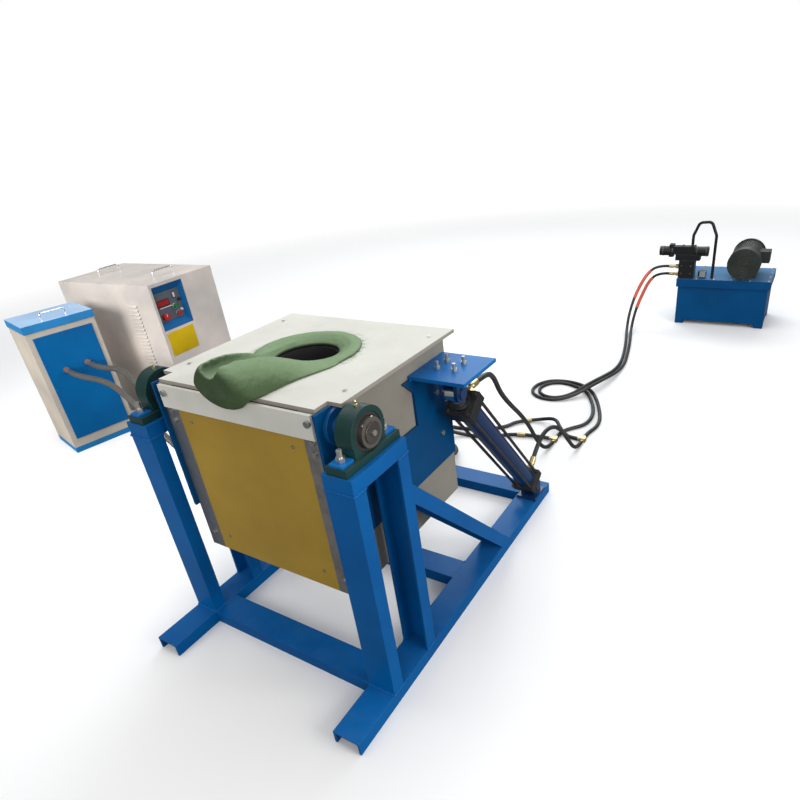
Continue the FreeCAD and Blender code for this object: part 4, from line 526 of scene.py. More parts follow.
NODE_FINISHES = {
    FRAME_BLUE: ["base_rails", "cross_members", "stand_posts", "stand_beams", "stand_braces"],
    PLATE_BLUE: ["side_plates"],
    BRACKET_BLUE: ["lift_brackets", "bearing_pads"],
    BARREL_BLUE: ["right_barrel", "left_barrel", "cylinder_brackets", "rod_clevises"],
    BLOCK_BLACK: ["right_caps", "left_caps", "valve_block"],
    BLOCK_GREEN: ["bearing_housings"],
    MOTOR_GREY: ["pump_motor"],
    DARK_STEEL: ["right_tie_rods", "left_tie_rods", "bearing_outer_rings"],
    SHAFT_PAINT: ["trunnion_shafts"],
    DULL_STEEL: ["bearing_inner_rings"],
    CHROME: ["right_piston_rod", "left_piston_rod", "filler_cap", "top_handles"],
    BRASS: ["right_fittings", "left_fittings", "hose_couplings"],
    BRIGHT_ZINC: ["bearing_bolts"],
    FASTENER_ZINC: ["furnace_fasteners"],
    LID_WITH_SHADED_EDGES: ["lid_board"],
    LID_BOARD: ["front_apron", "bottom_board"],
    OCHRE_FRONT_SHADED: ["front_panel"],
    EDGE_ALUMINIUM: ["corner_strips"],
    BODY_GREY: ["body_panels"],
    GRAPHITE: ["crucible"],
    PALE_LINING: ["lining"],
    COLUMN_BOARD: ["coil_columns"],
    COPPER: ["induction_coil", "lead_lugs"],
    SHELL_PAINT: ["box_shell"],
    BOX_LID_SHEEN: ["box_lid"],
    BOX_BLUE: ["box_panel"],
    FRONT_GREY: ["cabinet_shell"],
    SPRUNG_GREY: ["control_panel"],
    TANK_SHEEN: ["oil_tank"],
    GREEN_PLASTIC: ["start_button"],
    RED_PLASTIC: ["stop_button", "power_knob"],
}
for finish, names in NODE_FINISHES.items():
    for name in names:
        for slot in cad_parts[name].material_slots:
            slot.material = finish
painted_names = {name for names in NODE_FINISHES.values() for name in names}
print("left for new pieces:", sorted(set(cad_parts) - painted_names))

# %% [markdown]
# ## Building small pieces
# New pieces are meshes built in their own frame and then placed. Turned parts come from a
# profile spun about an axis, and blocks get their edges rounded. Each piece names the body
# that it rides on.

# %% Helpers for pieces
BODY = "stand_and_units"


def add_piece(name, mesh, finish, body=BODY, matrix=None):
    made = bpy.data.objects.new(name, mesh)
    scene.collection.objects.link(made)
    if matrix is not None:
        mesh.transform(matrix)
    if not mesh.materials:
        mesh.materials.append(finish)
    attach(made, body)
    return made


def mesh_of(shape, name, smooth=35):
    mesh = bpy.data.meshes.new(name)
    bmesh.ops.recalc_face_normals(shape, faces=shape.faces)
    shape.to_mesh(mesh)
    shape.free()
    mesh.shade_smooth()
    mesh.set_sharp_from_angle(angle=math.radians(smooth))
    return mesh


def add_block(shape, low, high, rounding=0.001, steps=2):
    size = [b - a for a, b in zip(low, high)]
    middle = [(a + b) / 2 for a, b in zip(low, high)]
    made = bmesh.ops.create_cube(shape, size=1.0, matrix=Matrix.Translation(middle) @ Matrix.Diagonal((*size, 1.0)))
    edges = list({edge for corner in made["verts"] for edge in corner.link_edges})
    bmesh.ops.bevel(shape, geom=edges, offset=rounding, segments=steps, affect="EDGES", profile=0.5)


def add_turned(shape, profile, place, way, steps=32):
    axis = Vector(way).normalized()
    turn = axis.to_track_quat("Z", "Y").to_matrix().to_4x4()
    matrix = Matrix.Translation(place) @ turn
    rings = []
    for radius, height in profile:
        if radius < 1e-6:
            rings.append([shape.verts.new(matrix @ Vector((0, 0, height)))])
            continue
        angles = [2 * math.pi * i / steps for i in range(steps)]
        rings.append([shape.verts.new(matrix @ Vector((radius * math.cos(a), radius * math.sin(a), height))) for a in angles])
    for lower, upper in zip(rings, rings[1:]):
        for i in range(steps):
            j = (i + 1) % steps
            corners = [lower[i % len(lower)], lower[j % len(lower)], upper[j % len(upper)], upper[i % len(upper)]]
            unique = list(dict.fromkeys(corners))
            if len(unique) > 2:
                shape.faces.new(unique)


def turned_disc(radius, height, edge):
    return [(0, 0), (radius, 0), (radius, height - edge), (radius - edge, height), (0, height)]


# %% [markdown]
# ## Repeats grown by Geometry Nodes
# Four trees make what repeats: weld beads along a seam, screw heads on points, a row of
# copies and a ring of copies. Each has named inputs, fixed seeds and ends in real geometry
# with its material. The result is read off as a plain mesh, and the modifier goes.

# %% Geometry trees
GEOMETRY = "NodeSocketGeometry"
COUNT = "NodeSocketInt"
MATERIAL = "NodeSocketMaterial"


def geometry_tree(name, inputs):
    tree = bpy.data.node_groups.new(name, "GeometryNodeTree")
    tree.interface.new_socket("Geometry", in_out="INPUT", socket_type=GEOMETRY)
    for label, kind, value in inputs:
        socket = tree.interface.new_socket(label, in_out="INPUT", socket_type=kind)
        if value is not None:
            socket.default_value = value
    tree.interface.new_socket("Material", in_out="INPUT", socket_type=MATERIAL)
    tree.interface.new_socket("Geometry", in_out="OUTPUT", socket_type=GEOMETRY)
    graph = Graph(tree)
    return graph, graph.add("NodeGroupInput").outputs, graph.add("NodeGroupOutput").inputs


def end_tree(graph, instances, given, out):
    real = graph.add("GeometryNodeRealizeInstances")
    graph.put(instances, real.inputs["Geometry"])
    painted_over = graph.add("GeometryNodeSetMaterial")
    graph.put(real.outputs[0], painted_over.inputs["Geometry"])
    graph.put(given["Material"], painted_over.inputs["Material"])
    graph.put(painted_over.outputs[0], out["Geometry"])
    return graph.tree


def make_beads_tree():
    graph, given, out = geometry_tree("beads_on_path", [("Spacing", NUMBER, 0.004), ("Radius", NUMBER, 0.004),
                                                         ("Unevenness", NUMBER, 0.25)])
    curve = graph.add("GeometryNodeMeshToCurve")
    graph.put(given["Geometry"], curve.inputs["Mesh"])
    points = graph.add("GeometryNodeCurveToPoints", mode="LENGTH")
    graph.put(curve.outputs[0], points.inputs["Curve"])
    graph.put(given["Spacing"], points.inputs["Length"])
    bead = graph.add("GeometryNodeMeshIcoSphere")
    graph.put(given["Radius"], bead.inputs["Radius"])
    bead.inputs["Subdivisions"].default_value = 2
    random = graph.add("FunctionNodeRandomValue", data_type="FLOAT")
    low = graph.maths("SUBTRACT", 1.0, given["Unevenness"])
    scalar = [socket for socket in random.inputs if socket.type == "VALUE"]
    graph.put(low, scalar[0])
    graph.put(1.1, scalar[1])
    random.inputs["Seed"].default_value = 7
    spread = graph.add("GeometryNodeInstanceOnPoints")
    graph.put(points.outputs["Points"], spread.inputs["Points"])
    graph.put(bead.outputs["Mesh"], spread.inputs["Instance"])
    graph.put([socket for socket in random.outputs if socket.type == "VALUE"][0], spread.inputs["Scale"])
    return end_tree(graph, spread.outputs[0], given, out)


def make_studs_tree():
    graph, given, out = geometry_tree("studs_on_points", [("Washer Radius", NUMBER, 0.009), ("Washer Height", NUMBER, 0.0015),
                                                           ("Head Radius", NUMBER, 0.006), ("Head Height", NUMBER, 0.005),
                                                           ("Head Sides", COUNT, 6)])
    washer = graph.add("GeometryNodeMeshCylinder")
    washer.inputs["Vertices"].default_value = 24
    graph.put(given["Washer Radius"], washer.inputs["Radius"])
    graph.put(graph.maths("MULTIPLY", given["Washer Height"], 2.0), washer.inputs["Depth"])
    head = graph.add("GeometryNodeMeshCylinder")
    graph.put(given["Head Sides"], head.inputs["Vertices"])
    graph.put(given["Head Radius"], head.inputs["Radius"])
    graph.put(graph.maths("MULTIPLY", given["Head Height"], 2.0), head.inputs["Depth"])
    both = graph.add("GeometryNodeJoinGeometry")
    graph.put(washer.outputs["Mesh"], both.inputs[0])
    graph.put(head.outputs["Mesh"], both.inputs[0])
    way = graph.add("GeometryNodeInputNamedAttribute", data_type="FLOAT_VECTOR")
    way.inputs["Name"].default_value = "way"
    align = graph.add("FunctionNodeAlignRotationToVector", axis="Z")
    graph.put([socket for socket in way.outputs if socket.type == "VECTOR"][0], align.inputs["Vector"])
    spread = graph.add("GeometryNodeInstanceOnPoints")
    graph.put(given["Geometry"], spread.inputs["Points"])
    graph.put(both.outputs[0], spread.inputs["Instance"])
    graph.put(align.outputs[0], spread.inputs["Rotation"])
    return end_tree(graph, spread.outputs[0], given, out)


def make_row_tree():
    graph, given, out = geometry_tree("row_of_copies", [("Copies", COUNT, 3), ("Step", VECTOR, (0, 0, 0.1))])
    line = graph.add("GeometryNodeMeshLine", mode="OFFSET")
    graph.put(given["Copies"], line.inputs["Count"])
    graph.put(given["Step"], line.inputs["Offset"])
    spread = graph.add("GeometryNodeInstanceOnPoints")
    graph.put(line.outputs[0], spread.inputs["Points"])
    graph.put(given["Geometry"], spread.inputs["Instance"])
    return end_tree(graph, spread.outputs[0], given, out)


def make_ring_tree():
    graph, given, out = geometry_tree("ring_of_copies", [("Copies", COUNT, 12)])
    points = graph.add("GeometryNodePoints")
    graph.put(given["Copies"], points.inputs["Count"])
    index = graph.add("GeometryNodeInputIndex")
    share = graph.maths("DIVIDE", index.outputs[0], given["Copies"])
    angle = graph.maths("MULTIPLY", share, 2 * math.pi)
    turn = graph.add("ShaderNodeCombineXYZ")
    graph.put(angle, turn.inputs["Y"])
    rotation = graph.add("FunctionNodeEulerToRotation")
    graph.put(turn.outputs[0], rotation.inputs[0])
    spread = graph.add("GeometryNodeInstanceOnPoints")
    graph.put(points.outputs[0], spread.inputs["Points"])
    graph.put(given["Geometry"], spread.inputs["Instance"])
    graph.put(rotation.outputs[0], spread.inputs["Rotation"])
    return end_tree(graph, spread.outputs[0], given, out)


BEADS = make_beads_tree()
STUDS = make_studs_tree()
ROW = make_row_tree()
RING = make_ring_tree()


def grow(tree, name, base, finish, slot, body=BODY, matrix=None, smooth=35, **values):
    holder = bpy.data.objects.new(name + "_base", base)
    scene.collection.objects.link(holder)
    modifier = holder.modifiers.new("grown", "NODES")
    modifier.node_group = tree
    named = {item.name: item.identifier for item in tree.interface.items_tree if item.in_out == "INPUT"}
    for label, value in values.items():
        modifier[named[label.replace("_", " ")]] = value
    modifier[named["Material"]] = finish
    settled = holder.evaluated_get(bpy.context.evaluated_depsgraph_get())
    mesh = bpy.data.meshes.new_from_object(settled)
    mesh.name = name
    holder.modifiers.remove(modifier)
    bpy.data.objects.remove(holder)
    mesh.shade_smooth()
    mesh.set_sharp_from_angle(angle=math.radians(smooth))
    return add_piece(name, mesh, finish, body, matrix)


def lines_mesh(name, lines):
    mesh = bpy.data.meshes.new(name)
    corners = [point for line in lines for point in line]
    mesh.from_pydata(corners, [(2 * i, 2 * i + 1) for i in range(len(lines))], [])
    return mesh


def points_mesh(name, places):
    mesh = bpy.data.meshes.new(name)
    mesh.from_pydata([place for place, way in places], [], [])
    ways = mesh.attributes.new("way", "FLOAT_VECTOR", "POINT")
    for item, (place, way) in zip(ways.data, places):
        item.vector = way
    return mesh


def mirrored_in_x(lines):
    return lines + [tuple((-x, y, z) for x, y, z in line) for line in lines]


print("trees", [tree.name for tree in (BEADS, STUDS, ROW, RING)])

# %% [markdown]
# ## Welds on the stand
# The stand is welded from channel. Beads run where the posts meet the rails and beams, where
# the cross members and braces land, and under each lifting bracket. The seams come from the
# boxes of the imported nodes, so they follow the model.

# %% Weld beads
posts_low, posts_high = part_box("stand_posts")
rails_low, rails_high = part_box("base_rails")
beams_low, beams_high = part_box("stand_beams")
brackets_low, brackets_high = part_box("lift_brackets")
plates_low, plates_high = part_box("side_plates")
CHANNEL_WIDTH = 0.100
CHANNEL_DEPTH = 0.048
outer_x = posts_high[0]
inner_x = outer_x - CHANNEL_WIDTH
front_y = posts_low[1]
rear_y = posts_high[1]
rail_top = rails_high[2]
beam_bottom = beams_low[2]
seams = []
for height in (rail_top, beam_bottom):
    for y in (front_y, rear_y):
        seams.append(((inner_x, y, height), (outer_x, y, height)))
    for x in (inner_x, outer_x):
        seams.append(((x, front_y, height), (x, front_y + CHANNEL_DEPTH, height)))
        seams.append(((x, rear_y - CHANNEL_DEPTH, height), (x, rear_y, height)))
for y in (0.096, 0.535, 0.635, 1.157, 1.257):
    seams.append(((inner_x, y, 0.004), (inner_x, y, rail_top)))
bracket_bottom = brackets_high[2] - 0.012
seams.append(((plates_high[0], brackets_low[1], bracket_bottom), (plates_high[0], brackets_high[1], bracket_bottom)))
welds = mirrored_in_x(seams[:-1])
grow(BEADS, "stand_welds", lines_mesh("stand_seams", welds), FRAME_BLUE, "stand_posts", Spacing=0.0042, Radius=0.0042)
grow(BEADS, "bracket_welds", lines_mesh("bracket_seams", mirrored_in_x(seams[-1:])), BRACKET_BLUE, "lift_brackets",
     body="furnace", Spacing=0.0042, Radius=0.0045)
feet_low, feet_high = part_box("cylinder_brackets")
FOOT_WIDTH = 0.090
foot_seams = []
for y in (feet_low[1], feet_high[1]):
    foot_seams.append(((feet_high[0] - FOOT_WIDTH, y, rail_top), (feet_high[0], y, rail_top)))
foot_seams.append(((feet_high[0] - FOOT_WIDTH, feet_low[1], rail_top), (feet_high[0] - FOOT_WIDTH, feet_high[1], rail_top)))
grow(BEADS, "foot_welds", lines_mesh("foot_seams", mirrored_in_x(foot_seams)), BARREL_BLUE, "cylinder_brackets",
     Spacing=0.0042, Radius=0.0040)
print("welds", len(welds))

# %% [markdown]
# ## The spout
# The collar and spout are rammed by hand from coarse refractory over the crucible's rim.
# The imported shape is remeshed finely, softened, and roughened with two sizes of noise. The
# green is glaze from the flux. Faces that look up are painted lighter, a painted highlight, and the bore away from the
# nose is painted near black, a painted shade.

# %% Spout
SPOUT_VOXEL = 0.0042
# Height below which the bore gets painted shade.
SPOUT_SHADE_BELOW = 0.977


def rammed_refractory():
    made, graph, socket = new_material("rammed_refractory")
    grain = use_group(graph, MOTTLED_GRAIN, Light=colour(0.062, 0.112, 0.042), Dark=colour(0.030, 0.062, 0.020),
                      Stain=colour(0.22, 0.26, 0.17), Patch_Size=11.0, Grain=150.0, Stain_Amount=0.4)
    place = graph.place()
    split = graph.add("ShaderNodeSeparateXYZ")
    graph.put(graph.add("ShaderNodeNewGeometry").outputs["Normal"], split.inputs[0])
    pits = graph.band(graph.noise(place, 70.0, 4.0, 0.7), 0.24, 0.34)
    pitted = graph.blend(pits, colour(0.05, 0.08, 0.04), grain["Color"])
    # Painted highlight: faces that look up are made lighter.
    lit = graph.band(split.outputs["Z"], 0.35, 1.0, 0.0, 0.75)
    pale = graph.blend(lit, pitted, colour(0.25, 0.37, 0.20))
    # Painted shade: the bore below the rim, away from the nose, is made near black.
    height_above = graph.add("ShaderNodeSeparateXYZ")
    graph.put(place, height_above.inputs[0])
    deep = graph.band(height_above.outputs["Z"], SPOUT_SHADE_BELOW + 0.008, SPOUT_SHADE_BELOW)
    behind_nose = graph.band(height_above.outputs["Y"], 0.18, 0.20)
    bore_shade = graph.maths("MULTIPLY", deep, behind_nose, clamp=True)
    graph.put(graph.blend(bore_shade, pale, colour(0.012, 0.015, 0.012)), socket["Base Color"])
    graph.put(graph.band(grain["Patches"], 0.3, 0.7, 0.62, 0.92), socket["Roughness"])
    coarse = graph.noise(place, 55.0, 8.0, 0.72)
    fine = graph.noise(place, 320.0, 3.0, 0.6)
    height = graph.maths("ADD", coarse, graph.maths("MULTIPLY", fine, 0.35))
    graph.put(graph.bump(height, 0.55, 0.005), socket["Normal"])
    return made


REFRACTORY = rammed_refractory()
spout_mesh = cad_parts["pouring_spout"].data.copy()
spout = bpy.data.objects.new("rammed_spout", spout_mesh)
scene.collection.objects.link(spout)
remesh = spout.modifiers.new("even", "REMESH")
remesh.mode = "VOXEL"
remesh.voxel_size = SPOUT_VOXEL
soften = spout.modifiers.new("soften", "SMOOTH")
soften.factor = 0.5
soften.iterations = 14
for label, size, depth in (("lumps", 0.070, 0.0045), ("grit", 0.014, 0.0012)):
    lumps = bpy.data.textures.new(label, "CLOUDS")
    lumps.noise_scale = size
    lumps.noise_depth = 3
    push = spout.modifiers.new(label, "DISPLACE")
    push.texture = lumps
    push.texture_coords = "GLOBAL"
    push.strength = depth
    push.mid_level = 0.5
settled = spout.evaluated_get(bpy.context.evaluated_depsgraph_get())
spout.data = bpy.data.meshes.new_from_object(settled)
spout.modifiers.clear()
spout.data.materials.clear()
spout.data.materials.append(REFRACTORY)
spout.data.shade_smooth()
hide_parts("pouring_spout")
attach(spout, "furnace")
print("spout faces", len(spout.data.polygons))

# %% [markdown]
# ## Bearings
# Each pillow block has a seal on both faces, a grease nipple on top, and two set screws in
# the inner ring's collar. Where the photo shows the collar dark, it is oiled steel.

# %% Bearing details
housing_low, housing_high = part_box("bearing_housings")
ring_low, ring_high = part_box("bearing_inner_rings")
AXIS = (0.1185, 0.924)
BEARING_X = 0.416
HOUSING_HALF = 0.027
seals = bmesh.new()
nipples = bmesh.new()
SEAL_PROFILE = [(0.0426, 0.0), (0.0426, 0.0028), (0.0470, 0.0040), (0.0520, 0.0030), (0.0544, 0.0030), (0.0544, 0.0)]
NIPPLE_PROFILE = [(0.0055, -0.002), (0.0055, 0.005), (0.0032, 0.006), (0.0032, 0.010), (0.0042, 0.012), (0.0030, 0.0155), (0, 0.016)]
for side in (-1, 1):
    for face in (-1, 1):
        place = (side * BEARING_X + face * (HOUSING_HALF - 0.005), *AXIS)
        add_turned(seals, SEAL_PROFILE, place, (face, 0, 0), steps=64)
    add_turned(nipples, NIPPLE_PROFILE, (side * BEARING_X, AXIS[0], housing_high[2] - 0.0005), (0, 0, 1), steps=24)
SEAL_RUBBER = plastic("seal_rubber", colour(0.03, 0.03, 0.032), rough=0.5)
add_piece("bearing_seals", mesh_of(seals, "bearing_seals"), SEAL_RUBBER)
add_piece("grease_nipples", mesh_of(nipples, "grease_nipples"), BRASS)
COLLAR_RADIUS = 0.0418
screws = []
for side in (-1, 1):
    for degrees in (70, 130):
        a = math.radians(degrees)
        way = (0, math.cos(a), math.sin(a))
        x = side * (ring_high[0] - 0.007)
        screws.append(((x, AXIS[0] + way[1] * COLLAR_RADIUS, AXIS[1] + way[2] * COLLAR_RADIUS), way))
grow(STUDS, "collar_screws", points_mesh("collar_screw_points", screws), BRIGHT_ZINC, "bearing_bolts", body="furnace",
     Washer_Radius=0.0042, Washer_Height=0.0004, Head_Radius=0.0034, Head_Height=0.0016)

# %% [markdown]
# ## The oil unit
# The motor has cooling fins along its frame and a cowl whose front is a guard of rings. The
# tank's lid is bolted down all round. Cap screws hold the valve stack together.

# %% Oil unit details
tank_low, tank_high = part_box("oil_tank")
motor_low, motor_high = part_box("pump_motor")
MOTOR_AXIS = Vector((0.940, 0.0, 0.470))
MOTOR_FRONT = 3.768
COWL_BACK = 3.846
MOTOR_BACK = 4.098
FIN_COUNT = 44
fin = bmesh.new()
add_block(fin, (-0.0012, COWL_BACK + 0.004, 0.097), (0.0012, MOTOR_BACK - 0.022, 0.1065), rounding=0.0006)
grow(RING, "motor_fins", mesh_of(fin, "one_fin"), MOTOR_GREY, "pump_motor", matrix=Matrix.Translation(MOTOR_AXIS),
     Copies=FIN_COUNT)
guard = bmesh.new()
RIB = 0.0022
for radius in (0.022, 0.036, 0.050, 0.064, 0.078, 0.092):
    ring = [(radius - RIB, 0.0), (radius - RIB, RIB), (radius, 1.6 * RIB), (radius + RIB, RIB), (radius + RIB, 0.0)]
    add_turned(guard, ring, (MOTOR_AXIS.x, MOTOR_FRONT, MOTOR_AXIS.z), (0, -1, 0), steps=64)
hub = [(0.014, 0.0), (0.014, 0.003), (0.010, 0.0045), (0.0, 0.0045)]
add_turned(guard, hub, (MOTOR_AXIS.x, MOTOR_FRONT, MOTOR_AXIS.z), (0, -1, 0), steps=32)
add_piece("cowl_guard", mesh_of(guard, "cowl_guard"), MOTOR_GREY)
lid_bolts = []
BOLT_INSET = 0.018
BOLTS_LONG = 6
BOLTS_SHORT = 4
x0, x1 = tank_low[0] + BOLT_INSET, tank_high[0] - BOLT_INSET
y0, y1 = tank_low[1] + BOLT_INSET, tank_high[1] - BOLT_INSET
TANK_TOP = 0.346
for i in range(BOLTS_LONG):
    x = x0 + (x1 - x0) * i / (BOLTS_LONG - 1)
    lid_bolts.extend([((x, y0, TANK_TOP), (0, 0, 1)), ((x, y1, TANK_TOP), (0, 0, 1))])
for i in range(1, BOLTS_SHORT - 1):
    y = y0 + (y1 - y0) * i / (BOLTS_SHORT - 1)
    lid_bolts.extend([((x0, y, TANK_TOP), (0, 0, 1)), ((x1, y, TANK_TOP), (0, 0, 1))])
grow(STUDS, "tank_bolts", points_mesh("tank_bolt_points", lid_bolts), BRIGHT_ZINC, "bearing_bolts",
     Washer_Radius=0.0105, Washer_Height=0.0016, Head_Radius=0.0070, Head_Height=0.0060)
VALVE_Y = 3.842
cap_screws = []
for x in (0.512, 0.596):
    for y in (VALVE_Y - 0.022, VALVE_Y + 0.022):
        cap_screws.append(((x, y, 0.576), (0, 0, 1)) if x < 0.6 else ((x, y, 0.520), (0, 0, 1)))
for z in (0.385, 0.440):
    for x in (0.522, 0.586):
        cap_screws.append(((x, VALVE_Y - 0.042, z), (0, -1, 0)))
grow(STUDS, "valve_screws", points_mesh("valve_screw_points", cap_screws), DARK_STEEL, "bearing_outer_rings",
     Washer_Radius=0.0068, Washer_Height=0.0050, Head_Radius=0.0040, Head_Height=0.0052)
rings = bmesh.new()
NUT_PROFILE = [(0.0345, 0.0), (0.0362, 0.001), (0.0362, 0.007), (0.0345, 0.008)]
for x in (0.372, 0.440, 0.612, 0.676):
    add_turned(rings, NUT_PROFILE, (x, VALVE_Y, 0.540), (1, 0, 0), steps=48)
add_piece("solenoid_rings", mesh_of(rings, "solenoid_rings"), DARK_STEEL)
print("tank bolts", len(lid_bolts))

# %% [markdown]
# ## The power cabinet's front
# The control panel sits in a recess behind sloped blue cheeks. On it are a display, a strip,
# two switches and small knobs. The yellow plate below stays bare, since it carries text in
# the photo. Pressed hoods stand over the louvre slots on the side.

# %% Cabinet details
CABINET = Matrix.Translation((-1.963, 1.152, 0)) @ Matrix.Rotation(math.radians(3.4), 4, "Z")
RECESS = -0.024
OUTER = [(0.0185, 0.6145), (0.2375, 0.6145), (0.2375, 0.8775), (0.0185, 0.8775)]
INNER = [(0.0185, 0.660), (0.2120, 0.660), (0.2120, 0.837), (0.0185, 0.837)]
CHEEK_FRONT = -0.0015
CHEEK_BACK = RECESS + 0.0012
cheeks = bmesh.new()
outer_ring = [cheeks.verts.new((CHEEK_FRONT, y, z)) for y, z in OUTER]
inner_ring = [cheeks.verts.new((CHEEK_BACK, y, z)) for y, z in INNER]
base_ring = [cheeks.verts.new((RECESS + 0.0002, y, z)) for y, z in OUTER]
for i in (0, 1, 2):
    j = (i + 1) % 4
    cheeks.faces.new([outer_ring[i], outer_ring[j], inner_ring[j], inner_ring[i]])
    cheeks.faces.new([inner_ring[i], inner_ring[j], base_ring[j], base_ring[i]])
    cheeks.faces.new([outer_ring[j], outer_ring[i], base_ring[i], base_ring[j]])
add_piece("panel_cheeks", mesh_of(cheeks, "panel_cheeks"), PANEL_BLUE, matrix=CABINET)


def on_panel(name, parts, finish, rounding=0.001):
    shape = bmesh.new()
    for (y0, y1), (z0, z1), height in parts:
        add_block(shape, (RECESS - 0.0004, y0, z0), (RECESS + height, y1, z1), rounding=min(rounding, height * 0.3))
    return add_piece(name, mesh_of(shape, name), finish, matrix=CABINET)


DISPLAY_RED = plastic("display_red", colour(0.42, 0.012, 0.012), rough=0.12, dust=0.0)
on_panel("display_frame", [((0.030, 0.126), (0.7505, 0.7915), 0.0040)], BLACK_PLASTIC)
on_panel("display_window", [((0.036, 0.120), (0.7560, 0.7860), 0.0048)], DISPLAY_RED, 0.0004)
on_panel("panel_strip", [((0.050, 0.136), (0.7400, 0.7455), 0.0018)], WHITE_PLASTIC, 0.0003)
on_panel("panel_rocker_frame", [((0.160, 0.180), (0.780, 0.818), 0.0025)], BLACK_PLASTIC)
on_panel("panel_rocker", [((0.1635, 0.1765), (0.784, 0.814), 0.0052)], WHITE_PLASTIC, 0.0012)


def knob_profile(radius, height):
    return [(radius * 1.25, 0.0), (radius * 1.25, 0.0012), (radius * 1.02, 0.0020), (radius, height * 0.55),
            (radius * 0.92, height - 0.0012), (radius * 0.80, height), (0.0, height)]


black_knobs = bmesh.new()
add_turned(black_knobs, knob_profile(0.0095, 0.014), (RECESS, 0.197, 0.765), (1, 0, 0))
add_piece("panel_black_knob", mesh_of(black_knobs, "panel_black_knob"), BLACK_PLASTIC, matrix=CABINET)
white_knobs = bmesh.new()
add_turned(white_knobs, knob_profile(0.0070, 0.010), (RECESS, 0.199, 0.701), (1, 0, 0))
add_piece("panel_white_knob", mesh_of(white_knobs, "panel_white_knob"), WHITE_PLASTIC, matrix=CABINET)
BUTTON_PLACES = [(0.158, 0.732), (0.168, 0.684)]
collars = bmesh.new()
COLLAR_PROFILE = [(0.0152, 0.0), (0.0182, 0.0), (0.0182, 0.0030), (0.0170, 0.0044), (0.0156, 0.0044), (0.0152, 0.0)]
for y, z in BUTTON_PLACES:
    add_turned(collars, COLLAR_PROFILE, (RECESS, y, z), (1, 0, 0), steps=40)
add_piece("button_collars", mesh_of(collars, "button_collars"), BRIGHT_ZINC, matrix=CABINET)
pointer = bmesh.new()
add_block(pointer, (0.0004, 0.0640, 0.6905), (0.0016, 0.0680, 0.7085), rounding=0.0004)
add_piece("knob_pointer", mesh_of(pointer, "knob_pointer"), WHITE_PLASTIC, body="power_knob", matrix=CABINET)
plate = bmesh.new()
add_block(plate, (-0.0003, 0.024, 0.449), (0.0015, 0.226, 0.596), rounding=0.0006)
add_piece("bare_plate", mesh_of(plate, "bare_plate"), SIGN_YELLOW, matrix=CABINET)
plate_rivets = [((0.0014, y, z), (1, 0, 0)) for y in (0.031, 0.219) for z in (0.456, 0.589)]
grow(STUDS, "plate_rivets", points_mesh("plate_rivet_points", plate_rivets), BRIGHT_ZINC, "cabinet_shell",
     matrix=CABINET, Washer_Radius=0.0032, Washer_Height=0.0006, Head_Radius=0.0024, Head_Height=0.0013, Head_Sides=16)

LOUVRE_COUNT = 22
LOUVRE_PITCH = 0.024
LOUVRE_TOP = 0.770
LOUVRE_X = -0.208
LOUVRE_HALF = 0.049
HOOD_DEPTH = 0.0075
HOOD_HEIGHT = 0.0125
SKIN = 0.0010
hood = bmesh.new()
ARC_STEPS = 6
outer_arc = []
inner_arc = []
for i in range(ARC_STEPS + 1):
    a = math.pi / 2 * i / ARC_STEPS
    outer_arc.append((-HOOD_DEPTH * math.sin(a), HOOD_HEIGHT * (math.cos(a) - 1) + 0.002))
    inner_arc.append((-(HOOD_DEPTH - SKIN) * math.sin(a), (HOOD_HEIGHT - SKIN) * (math.cos(a) - 1) + 0.002 - SKIN))
rows = []
for share in (-1.0, -0.94, 0.94, 1.0):
    tuck = 0.45 if abs(share) == 1.0 else 1.0
    rows.append([[hood.verts.new((LOUVRE_X + share * LOUVRE_HALF, y * tuck, LOUVRE_TOP + z)) for y, z in arc]
                 for arc in (outer_arc, inner_arc)])
for near, far in zip(rows, rows[1:]):
    for k in range(ARC_STEPS):
        hood.faces.new([near[0][k], near[0][k + 1], far[0][k + 1], far[0][k]])
        hood.faces.new([near[1][k + 1], near[1][k], far[1][k], far[1][k + 1]])
    hood.faces.new([near[0][-1], near[1][-1], far[1][-1], far[0][-1]])
for end in (rows[0], rows[-1]):
    for k in range(ARC_STEPS):
        hood.faces.new([end[0][k], end[0][k + 1], end[1][k + 1], end[1][k]])
grow(ROW, "louvre_hoods", mesh_of(hood, "one_hood"), FRONT_GREY, "cabinet_shell", matrix=CABINET, smooth=50,
     Copies=LOUVRE_COUNT, Step=(0.0, 0.0, -LOUVRE_PITCH))

print("louvres", LOUVRE_COUNT)

# %% [markdown]
# ## The capacitor box
# Its blue front is held by small screws, painted over with it.

# %% Capacitor box details
BOX = Matrix.Translation((-2.341, 0.578, 0)) @ Matrix.Rotation(math.radians(-12.0), 4, "Z")
PANEL_FACE = 0.005
box_screws = []
for y in (0.040, 0.1875, 0.335):
    box_screws.extend([((PANEL_FACE, y, 0.100), (1, 0, 0)), ((PANEL_FACE, y, 0.718), (1, 0, 0))])
for z in (0.254, 0.409, 0.564):
    box_screws.extend([((PANEL_FACE, 0.040, z), (1, 0, 0)), ((PANEL_FACE, 0.335, z), (1, 0, 0))])
grow(STUDS, "box_screws", points_mesh("box_screw_points", box_screws), BOX_BLUE, "box_panel", matrix=BOX,
     Washer_Radius=0.0062, Washer_Height=0.0008, Head_Radius=0.0042, Head_Height=0.0026, Head_Sides=20)
# %% [markdown]
# ## Hoses and leads
# Every hose and lead is one smooth curve with the route's points as its control points. The
# curve is read off with no thickness and a tube is swept along it. Hoses from the cylinders
# and the leads are left in world space without a body; the other cords ride on the stand.

# %% Cords
TUBE_SIDES = 18
CURVE_STEPS = 5


